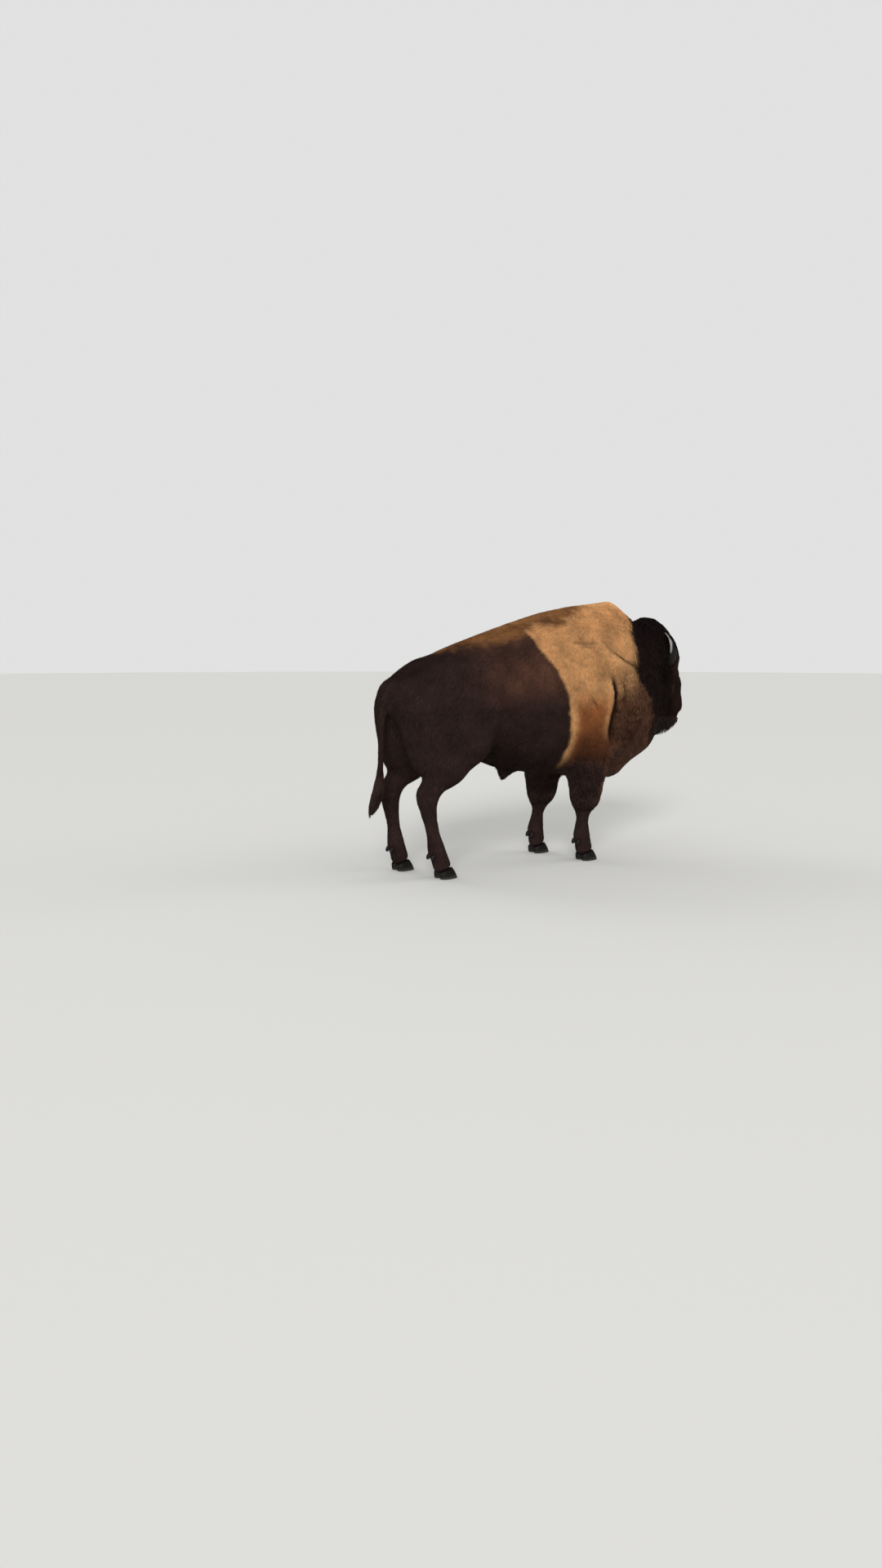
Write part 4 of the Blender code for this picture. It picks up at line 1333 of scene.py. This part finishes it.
@dataclass
class Coat:
    """All the hair, in pieces by region."""

    skin: Object
    outline: Object
    finishes: Mapping[Slot, Material]
    bends: tuple = ((0.0, 0.25), (1.1, 0.0), (-1.1, 0.0), (0.5, -0.35), (-0.5, 0.3))
    # what the skin keeps for the growing, and the finished pieces have no use for
    scratch: tuple = (
        "lie", "up", "length", "width", "lift", "cling", "bulge", "growth", "root", "hide_map", "bare",
        "piece",
    )

    def locks(self, rings: int, thick: float) -> bpy.types.Collection:
        """A collection of a few differently bent locks."""
        made = bpy.data.collections.new(f"locks_{rings}_{thick}")
        for bend, wave in self.bends:
            made.objects.link(bpy.data.objects.new("lock", Strand(rings, thick, bend, wave).mesh()))
        return made

    def build(self) -> None:
        """Grows every piece of the coat."""
        tree = coat_tree()
        collections: dict[tuple, bpy.types.Collection] = {}
        for region, growth in GROWTH.items():
            key = (growth.rings, growth.thick)
            if key not in collections:
                collections[key] = self.locks(*key)
            for side, number in (("_right", 0), ("_left", 1)) if growth.sided else (("", 0),):
                name = "coat_" + region.name.lower() + side
                self.piece(tree, name, region * 2 + number, growth, collections[key])
        for collection in collections.values():
            for lock in list(collection.objects):
                bpy.data.objects.remove(lock)
            bpy.data.collections.remove(collection)

    def piece(
        self, tree: Tree, name: str, number: int, growth: Growth, locks: bpy.types.Collection
    ) -> None:
        """Grows one piece of the coat, as a plain mesh.

        Args:
            tree: the Geometry Nodes tree.
            name: the piece's name.
            number: the piece's number on the skin's faces.
            growth: how this region's coat grows.
            locks: the locks to repeat.
        """
        values = {
            "Piece": number, "Spacing": growth.spacing, "Turn": growth.turn, "Seed": 100 + number,
            "Locks": locks, "Lock Count": len(locks.objects), "Outline": self.outline, "Proud": growth.proud,
            "Finish": self.finishes[growth.slot],
        }
        host = shown("host", self.skin.data)
        modifier = host.modifiers.new("coat", "NODES")
        modifier.node_group = tree
        for item in tree.interface.items_tree:
            if item.in_out == "INPUT" and item.name in values:
                modifier[item.identifier] = values[item.name]
        mesh = settled(host)
        mesh.name = name
        for attribute in self.scratch:
            if attribute in mesh.attributes:
                mesh.attributes.remove(mesh.attributes[attribute])
        made = shown(name, mesh)
        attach(made, "root")
        mesh.calc_loop_triangles()
        log.info("%s: %d triangles", name, len(mesh.loop_triangles))


# ---------------------------------------------------------------- horns, hooves and eyes


def tube(rings: Array) -> Mesh:
    """Makes a closed, smooth mesh through rings of points.

    Args:
        rings: the points, by ring, by place round the ring and by axis.

    Returns:
        The mesh, with its faces pointing out.
    """
    count, sides = rings.shape[:2]
    faces = [
        (start + j, start + k, start + sides + k, start + sides + j)
        for start in range(0, (count - 1) * sides, sides)
        for j, k in enumerate((*range(1, sides), 0))
    ]
    faces += [tuple(reversed(range(sides))), tuple(range((count - 1) * sides, count * sides))]
    mesh = mesh_of("tube", [tuple(p) for p in rings.reshape(-1, 3)], faces)
    turn_out(mesh)
    mesh.shade_smooth()
    return mesh


@dataclass
class Horns:
    """Two short horns that leave the skull sideways and curve up and in, ringed at the base and worn smooth
    at the tip. A pale streak on the outer side is a painted highlight."""

    aside: float = 0.132
    height: float = 1.462
    ahead: float = 1.031
    lean: float = -0.042
    bow: float = 0.117
    start: float = math.radians(-100)
    sweep: float = math.radians(165)
    base: float = 0.044
    tip: float = 0.0035
    ring_gap: float = 0.012
    rings: int = 150
    sides: int = 44
    round_scale: float = 0.03
    streak_turn: float = 0.46
    streak_width: float = 0.30

    def build(self, finish: Material) -> None:
        """Builds both horns and gives them their finish."""
        for name, side in SIDES.items():
            dressed(f"horn_{name}_ringed", self.mesh(side), finish, Slot.HORN, f"horn_{name}")

    def mesh(self, side: int) -> Mesh:
        """Builds one horn.

        Args:
            side: 1 for the left horn, -1 for the right.

        Returns:
            The mesh. "grain" keeps the way along it and round it in metres and its share of the length, and a
            second attribute how much of the painted highlight, a pale streak, lies on each point.
        """
        t = 1 - (1 - np.linspace(0, 1, self.rings)) ** 1.15
        turn = self.start + self.sweep * t
        middle = np.stack((
            self.ahead + self.lean * t, side * (self.aside + self.bow * np.cos(turn)),
            self.height + self.bow * np.sin(turn),
        ), axis=1)
        way = unit(np.gradient(middle, axis=0))
        first = unit(flattened(np.tile((1.0, 0.0, 0.0), (self.rings, 1)), way))
        second = np.cross(way, first)
        radius = (self.base * (1 - t) ** 0.60 + self.tip * np.clip((1 - t) * 60, 0, 1))[:, None]
        angle = np.linspace(0, math.tau, self.sides, endpoint=False)
        t, angle = np.meshgrid(t, angle, indexing="ij")
        travel = self.bow * self.sweep * t
        across, up = np.cos(angle), np.sin(angle)
        spot = np.stack((travel, across * self.round_scale, up * self.round_scale + side), axis=2)
        rough = wander(spot.reshape(-1, 3), 0.013, 31).reshape(t.shape)
        fade = 1 - smooth(0.18, 0.62, t)
        ridges = np.abs(np.sin(math.pi * (travel + 0.004 * rough) / self.ring_gap)) ** 0.7
        splits = np.abs(np.sin(9 * angle + 1.5 * rough + 6 * t))
        relief = fade * (0.0028 * ridges + 0.0014 * rough - 0.0008 * splits) - 0.0005 * splits * (1 - t)
        size = (radius + relief * np.clip(radius / 0.02, 0, 1))[..., None]
        out = across[..., None] * first[:, None] + up[..., None] * second[:, None]
        mesh = tube(middle[:, None] + size * out)
        store(mesh, "grain", np.stack((travel, angle * self.round_scale, t), axis=2).reshape(-1, 3))
        # painted highlight: a pale streak along the outer side of the horn's upper half, where a glint of
        # light would fall
        flaked = bump(angle - math.pi + self.streak_turn * side, self.streak_width)
        flaked = flaked * smooth(0.42, 0.62, t) * (1 - smooth(0.93, 0.99, t)) * (1 + 0.4 * rough)
        store(mesh, "flaked", flaked.ravel())
        return mesh


@dataclass
class Hooves:
    """Eight claws on flat soles, and the small dewclaws behind the fetlocks."""

    toe: float = 0.069
    heel: float = 0.055
    half_length: float = 0.063
    half_width: float = 0.029
    heel_height: float = 0.045
    rise: float = 0.348
    sides: int = 56
    levels: int = 26
    line_count: int = 9
    line_depth: float = 0.012

    def build(self, finish: Material) -> None:
        """Builds every claw and dewclaw and gives them their finish."""
        makers = {"hoof": self.claw, "dewclaw": self.dewclaw}
        for node in sorted(frame["nodes"]):
            make = makers.get(node.split("_")[0])
            if make:
                dressed(node + "_horny", make(node), finish, Slot.HOOF, node)

    def claw(self, node: str) -> Mesh:
        """Builds one claw: a sloped wall with growth lines that run with the coronet, on a flat sole.

        Args:
            node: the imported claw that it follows.

        Returns:
            The mesh, with "grain" kept on it as on the horns.
        """
        low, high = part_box(node)
        middle_x, middle_y = high.x - self.toe, (low.y + high.y) / 2
        angle = np.linspace(0, math.tau, self.sides, endpoint=False)
        narrow = 1 - 0.22 * np.cos(angle)
        rings = []
        for level in np.linspace(0, 1, self.levels):
            bulge = 1 + 0.05 * math.sin(math.pi * level)
            tuck = 0.93 if level == 0 else 1.0
            length = (1.0 - 0.30 * level) * bulge * tuck
            width = (1.0 - 0.12 * level) * bulge * tuck
            wave = np.sin(level * math.tau * self.line_count + 0.8 * np.cos(2 * angle))
            lines = 1 + self.line_depth * wave * (0.1 < level < 0.95)
            x = middle_x + 0.006 + self.half_length * length * lines * np.cos(angle) - 0.024 * level
            y = middle_y + self.half_width * width * lines * np.sin(angle) * narrow
            rings.append(np.stack((x, y, level * self.coronet(x - middle_x)), axis=1))
        top = rings[-1]
        rings.append(top + (np.mean(top, axis=0) - top) * 0.35 + (0, 0, 0.004))
        mesh = tube(np.array(rings))
        points = points_of(mesh)
        x, y, z = points.T
        inside = np.clip(x, low.x, high.x), np.clip(y, low.y, high.y), np.maximum(z, 0)
        move_points(mesh, np.stack(inside, axis=1))
        share = z / self.coronet(x - middle_x)
        store(mesh, "grain", np.stack((share * 0.07, x + y, share), axis=1))
        return mesh

    def coronet(self, ahead: Array) -> Array:
        """The height of the claw's upper edge, which rises from the heel to the toe."""
        return self.heel_height + (ahead + self.heel) * self.rise

    @staticmethod
    def dewclaw(node: str) -> Mesh:
        """Builds one dewclaw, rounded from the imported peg.

        Args:
            node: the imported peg.

        Returns:
            The mesh, with "grain" kept on it as on the horns.
        """
        points, faces, _ = joined((node,))
        mesh = modified(mesh_of("dewclaw", points, faces), "SUBSURF", levels=2, render_levels=2)
        mesh.shade_smooth()
        x, y, z = points_of(mesh).T
        store(mesh, "grain", np.stack((z, x + y, np.full(len(x), 0.6)), axis=1))
        return mesh


@dataclass
class Eyes:
    """Two eyeballs with a clear bulge over the iris and a level, oblong pupil."""

    bulge: float = 0.0005
    inset: float = 0.0006

    def build(self, finish: Material) -> None:
        """Builds both eyes and gives them their finish."""
        for name, side in SIDES.items():
            mesh = bpy.data.meshes.new("eye")
            with edited(mesh) as work:
                bmesh.ops.create_uvsphere(work, u_segments=64, v_segments=40, radius=1.0)
            mesh.shade_smooth()
            ball = points_of(mesh)
            along, high, out = HEAD.gaze(side)
            from_front = np.arccos(np.clip(ball[:, 2], -1, 1))
            size = HEAD.eyeball + self.bulge * bump(from_front, 0.42) - self.inset
            turned = ball[:, :1] * along + ball[:, 1:2] * high + ball[:, 2:] * out
            move_points(mesh, HEAD.place(HEAD.eye, side) + turned * size[:, None])
            store(mesh, "gaze", ball)
            turn_out(mesh)
            dressed(f"eyeball_{name}", mesh, finish, Slot.EYE, f"eye_{name}")


# ---------------------------------------------------------------- finishes


# A noise scale is the number of grains in a metre, and the comment beside it says how large one is.


@dataclass(frozen=True)
class HairFinish:
    """Bison hair: horn-like keratin fibres with a dull, greasy wool under them. It scatters light softly,
    has a faint sheen along the guard hairs, and each lock is darker at the root than at the tip."""

    name: str
    roughness: float = 0.72
    sheen: float = 0.0
    specular: float = 0.16
    shine: str = "C9A58C"
    strands: bool = True
    rear: str = "322523"
    lit: str = "654437"
    stripe: str = "6B442B"
    stripe_pale: str = "A67548"
    cape: str = "DEA973"
    cape_low: str = "A3653C"
    cape_deep: str = "6E4128"
    mane: str = "4E3427"
    black: str = "181112"
    face: str = "33221D"
    # painted shade in the shoulder's crease and the small folds
    crease_shade: str = "1A0F0A"
    bare: str = "13100E"

    def material(self) -> Material:
        """The material, which reads the markings from the mesh."""
        made, node = new_material(self.name)
        place = node("ShaderNodeTexCoord", out="Object")
        blotches = node(NOISE, {"Vector": place, "Scale": 9.0, "Detail": 3.0})  # 110 mm apart
        patches = node(NOISE, {"Vector": place, "Scale": 38.0, "Detail": 3.0})  # 26 mm apart
        cape, stripe = linear(self.cape), linear(self.stripe)
        stripe = node(MIX, {0: blotches, 6: stripe, 7: linear(self.stripe_pale)}, 2, data_type="RGBA")
        for mark, over in (("low", self.cape_low), ("deep", self.cape_deep)):
            share = node(STORED, out="Fac", attribute_name=mark)
            cape = node(MIX, {0: share, 6: cape, 7: linear(over)}, 2, data_type="RGBA")
        colour = linear(self.rear)
        for mark, over in (
            ("lit", linear(self.lit)), ("cape", cape), ("stripe", stripe), ("mane", linear(self.mane)),
            # the crease layer is painted shade
            ("black", linear(self.black)), ("face", linear(self.face)), ("crease", linear(self.crease_shade)),
        ):
            share = node(STORED, out="Fac", attribute_name=mark)
            colour = node(MIX, {0: share, 6: colour, 7: over}, 2, data_type="RGBA")
        shading = node(MATHS, (blotches, 0.9, 0.25), operation="MULTIPLY_ADD")
        shading = node(MATHS, (patches, 0.5, shading), operation="MULTIPLY_ADD")
        if self.strands:
            fibres, shading = self.lock_shading(node, shading)
        else:
            fibres, shading = self.skin_shading(node, place, shading)
        grey = node("ShaderNodeCombineColor", (shading, shading, shading))
        colour = node(MIX, {0: 1.0, 6: colour, 7: grey}, 2, data_type="RGBA", blend_type="MULTIPLY")
        inputs = {"Base Color": colour, "Roughness": self.roughness, "Sheen Weight": self.sheen,
                  "Sheen Roughness": 0.5, "Specular IOR Level": self.specular,
                  "Specular Tint": linear(self.shine)}
        if self.strands:
            inputs["Normal"] = node(BUMP, {"Height": fibres, "Strength": 0.45, "Distance": 0.0006})
        else:
            bare = node(STORED, out="Fac", attribute_name="bare")
            inputs["Base Color"] = node(MIX, {0: bare, 6: colour, 7: linear(self.bare)}, 2, data_type="RGBA")
            inputs["Roughness"] = node(SPREAD, {"Value": bare, 3: self.roughness, 4: 0.38})
            pebbles = node("ShaderNodeTexVoronoi", {"Vector": place, "Scale": 330.0})  # 3 mm, on the nose
            relief = node(MIX, {0: bare, 2: fibres, 3: pebbles}, data_type="FLOAT")
            inputs["Normal"] = node(BUMP, {"Height": relief, "Strength": 0.6, "Distance": 0.0015})
        node("ShaderNodeOutputMaterial", {"Surface": node("ShaderNodeBsdfPrincipled", inputs)})
        return made

    @staticmethod
    def lock_shading(node: Callable, shading: Socket) -> tuple[Socket, Socket]:
        """Shades locks: each a little lighter or darker, dark at the root, with fibres along it.

        Args:
            node: the call that adds a node.
            shading: the shading so far.

        Returns:
            The fibres and the new shading.
        """
        shade = node(STORED, out="Fac", attribute_name="shade")
        own = node(STORED, out="Vector", attribute_name="strand")
        along = node("ShaderNodeSeparateXYZ", (own,))
        tip = node(SPREAD, {"Value": along, 1: -0.5, 2: 0.35, 3: 0.82, 4: 1.06})
        hair = node(MATHS, (shade, 0.24, 0.88), operation="MULTIPLY_ADD")
        hair = node(MATHS, (hair, tip), operation="MULTIPLY")
        shading = node(MATHS, (hair, shading), operation="MULTIPLY")
        # in parts of a lock, 1 along and 5 or 6 fibres across, and elsewhere in the noise for each lock
        each = node(VECTORS, (own, (1.3, 5.5, 0.0)), operation="MULTIPLY")
        apart = node("ShaderNodeCombineXYZ", (shade, shade, shade))
        each = node(VECTORS, (apart, (61, 47, 53), each), operation="MULTIPLY_ADD")
        fibres = node(NOISE, {"Vector": each, "Scale": 1.0, "Detail": 1.0})
        lines = node(SPREAD, {"Value": fibres, 1: 0.3, 2: 0.7, 3: 0.74, 4: 1.22})
        return fibres, node(MATHS, (lines, shading), operation="MULTIPLY")

    @staticmethod
    def skin_shading(node: Callable, place: Socket, shading: Socket) -> tuple[Socket, Socket]:
        """Shades the skin under the locks, with fibres 17 mm long and 2.4 mm apart that lie back and down.

        Args:
            node: the call that adds a node.
            place: where on the body.
            shading: the shading so far.

        Returns:
            The fibres and the new shading.
        """
        lie = {"Vector": place, "Rotation": (0, math.radians(35), 0), "Scale": (60, 420, 420)}
        fibres = node(NOISE, {"Vector": node("ShaderNodeMapping", lie), "Scale": 1.0, "Detail": 2.0})
        shading = node(MATHS, (fibres, 0.5, shading), operation="MULTIPLY_ADD")
        return fibres, node(MATHS, (shading, 0.80), operation="MULTIPLY")


@dataclass(frozen=True)
class HornFinish:
    """Horn keratin, grown in rings and weathered: near black, dull and dusty at the base where the rings are
    rough, polished by rubbing towards the tip, and with a painted highlight: a pale streak on the outer side."""

    name: str = "horn_keratin_weathered"
    dark: str = "0F0C0B"
    dusty: str = "1A1512"
    tip: str = "100D0C"
    # the colour of the painted highlight streak on the outer side
    flaked: str = "A5A09A"
    dull: float = 0.75
    polished: float = 0.22
    specular: float = 0.22

    def material(self) -> Material:
        """The material, which reads the way along the horn from the mesh."""
        made, node = new_material(self.name)
        grain = node(STORED, out="Vector", attribute_name="grain")
        along = node("ShaderNodeSeparateXYZ", (grain,), "Z")
        comb = node("ShaderNodeMapping", {"Vector": grain, "Scale": (60, 900, 1)})  # 17 by 1.1 mm
        fibres = node(NOISE, {"Vector": comb, "Scale": 1.0, "Detail": 3.0})
        blotches = node(NOISE, {"Vector": grain, "Scale": 90.0, "Detail": 4.0})  # 11 mm apart
        dust = node(SPREAD, {"Value": along, 1: 0.05, 2: 0.50, 3: 1.0, 4: 0.0})
        dust = node(MATHS, (dust, blotches), operation="MULTIPLY")
        dust = node(MATHS, (dust, fibres), operation="MULTIPLY")
        dust = node(SPREAD, {"Value": dust, 1: 0.05, 2: 0.28})
        # the painted highlight streak, broken up by the fibres
        highlight_share = node(STORED, out="Fac", attribute_name="flaked")
        highlight_share = node(MATHS, (highlight_share, fibres), operation="MULTIPLY")
        highlight_share = node(SPREAD, {"Value": highlight_share, 1: 0.12, 2: 0.55})
        colour = linear(self.dark)
        for share, over in ((along, self.tip), (dust, self.dusty), (highlight_share, self.flaked)):
            colour = node(MIX, {0: share, 6: colour, 7: linear(over)}, 2, data_type="RGBA")
        gloss = node(SPREAD, {"Value": along, 1: 0.30, 2: 0.75, 3: self.dull, 4: self.polished})
        relief = node(BUMP, {"Height": fibres, "Strength": 0.35, "Distance": 0.0006})
        surface = node("ShaderNodeBsdfPrincipled", {
            "Base Color": colour, "Roughness": gloss, "Normal": relief, "IOR": 1.54,
            "Specular IOR Level": self.specular,
        })
        node("ShaderNodeOutputMaterial", {"Surface": surface})
        return made


@dataclass(frozen=True)
class EyeFinish:
    """A wet eyeball: a clear glossy front over a dark brown iris, an oblong black pupil and a brown rim."""

    name: str = "eyeball_wet"
    iris: str = "20110A"
    iris_edge: str = "0E0806"
    white: str = "2A1D16"
    pupil: str = "020203"
    pupil_size: tuple[float, float] = (0.36, 0.20)
    roughness: float = 0.11
    specular: float = 0.16

    def material(self) -> Material:
        """The material, which reads the way the eye looks from the mesh, in radii of the eyeball."""
        made, node = new_material(self.name)
        gaze = node(STORED, out="Vector", attribute_name="gaze")
        radius, oblong = (
            node(VECTORS, (node(VECTORS, (gaze, scale), operation="MULTIPLY"),), "Value", operation="LENGTH")
            for scale in ((1, 1, 0), (1 / self.pupil_size[0], 1 / self.pupil_size[1], 0))
        )
        rays = node(NOISE, {"Vector": gaze, "Scale": 14.0, "Detail": 4.0})  # 1.6 mm apart
        edge = node(SPREAD, {"Value": radius, 1: 0.56, 2: 0.66})
        hole = node(SPREAD, {"Value": oblong, 1: 1.06, 2: 0.94})
        colour = linear(self.iris_edge)
        for share, over in ((rays, self.iris), (edge, self.white), (hole, self.pupil)):
            colour = node(MIX, {0: share, 6: colour, 7: linear(over)}, 2, data_type="RGBA")
        surface = node("ShaderNodeBsdfPrincipled", {
            "Base Color": colour, "Roughness": self.roughness, "IOR": 1.376,
            "Specular IOR Level": self.specular,
        })
        node("ShaderNodeOutputMaterial", {"Surface": surface})
        return made


@dataclass(frozen=True)
class FloorFinish:
    """Smooth board with matt pale paint, rolled on."""

    name: str = "painted_board_matt"
    colour: str = "CDCCC9"
    roughness: float = 0.85

    def material(self) -> Material:
        """The material, one even colour."""
        made, node = new_material(self.name)
        inputs = {"Base Color": linear(self.colour), "Roughness": self.roughness}
        node("ShaderNodeOutputMaterial", {"Surface": node("ShaderNodeBsdfPrincipled", inputs)})
        return made


# ---------------------------------------------------------------- camera, floor and light


@dataclass(frozen=True)
class Studio:
    """The camera behind the bull's right flank, a pale floor and soft light."""

    camera_place: Spot = (-4.880, -6.086, 1.466)
    heading: float = math.radians(33.77)
    pitch_down: float = math.radians(6.91)
    lens: float = 26.0
    film: float = 36.0
    floor_radius: float = 60.0
    sky: str = "E6E7E6"
    sky_strength: float = 0.95
    target: Spot = (0.0, 0.0, 0.9)
    # name, place, spread in degrees and strength
    suns: tuple = (
        ("key", (-5.1, -6.2, 5.0), 20.0, 2.15), ("fill", (6.0, -2.5, 3.0), 40.0, 0.90),
        ("rim", (-2.0, 6.0, 5.0), 30.0, 0.45),
    )

    def build(self) -> None:
        """Sets up all three."""
        data = bpy.data.cameras.new("camera")
        data.sensor_fit = "VERTICAL"
        data.sensor_height = self.film
        data.lens = self.lens
        data.clip_end = 200
        camera = bpy.data.objects.new("camera", data)
        camera.location = self.camera_place
        camera.rotation_euler = (math.pi / 2 - self.pitch_down, 0, -self.heading)
        bpy.context.scene.collection.objects.link(camera)
        bpy.context.scene.camera = camera
        self.floor()
        self.lights()

    def floor(self) -> None:
        """A wide pale floor."""
        mesh = bpy.data.meshes.new("floor")
        with edited(mesh) as work:
            bmesh.ops.create_circle(work, cap_ends=True, segments=96, radius=self.floor_radius)
        mesh.materials.append(FloorFinish().material())
        shown("floor", mesh)

    def lights(self) -> None:
        """A pale sky all round, a large soft key on the right flank, and a fill from ahead."""
        scene = bpy.context.scene
        world = bpy.data.worlds.new("studio")
        world.use_nodes = True
        sky = world.node_tree.nodes["Background"].inputs
        sky["Color"].default_value = linear(self.sky)
        sky["Strength"].default_value = self.sky_strength
        scene.world = world
        world.cycles_visibility.glossy = False
        scene.view_settings.view_transform = "Standard"
        for name, place, spread, strength in self.suns:
            data = bpy.data.lights.new(name, "SUN")
            data.angle = math.radians(spread)
            data.energy = strength
            lamp = bpy.data.objects.new(name, data)
            lamp.location = place
            lamp.visible_glossy = name == "key"
            lamp.rotation_euler = (Vector(self.target) - Vector(place)).to_track_quat("-Z", "Y").to_euler()
            scene.collection.objects.link(lamp)


def main() -> None:
    """Builds the bull piece by piece."""
    logging.basicConfig(level=logging.INFO, format="%(message)s")
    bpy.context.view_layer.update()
    Studio().build()
    finishes = {
        Slot.BODY: HairFinish("guard_hair_short_oiled").material(),
        Slot.CAPE: HairFinish("wool_matted_sun_bleached", roughness=0.85, sheen=0.03).material(),
        Slot.MANE: HairFinish("mane_hair_coarse", roughness=0.68).material(),
    }
    hide = Hide()
    skin = hide.build(HairFinish("hide_haired", strands=False).material())
    outline = shown("outline", hide.outline_mesh)
    Coat(skin, outline, finishes).build()
    bpy.data.objects.remove(outline)
    Horns().build(HornFinish().material())
    Hooves().build(HornFinish("hoof_keratin_scuffed", dusty="3B342D", dull=0.65, polished=0.5).material())
    Eyes().build(EyeFinish().material())


if __name__ == "__main__":
    main()
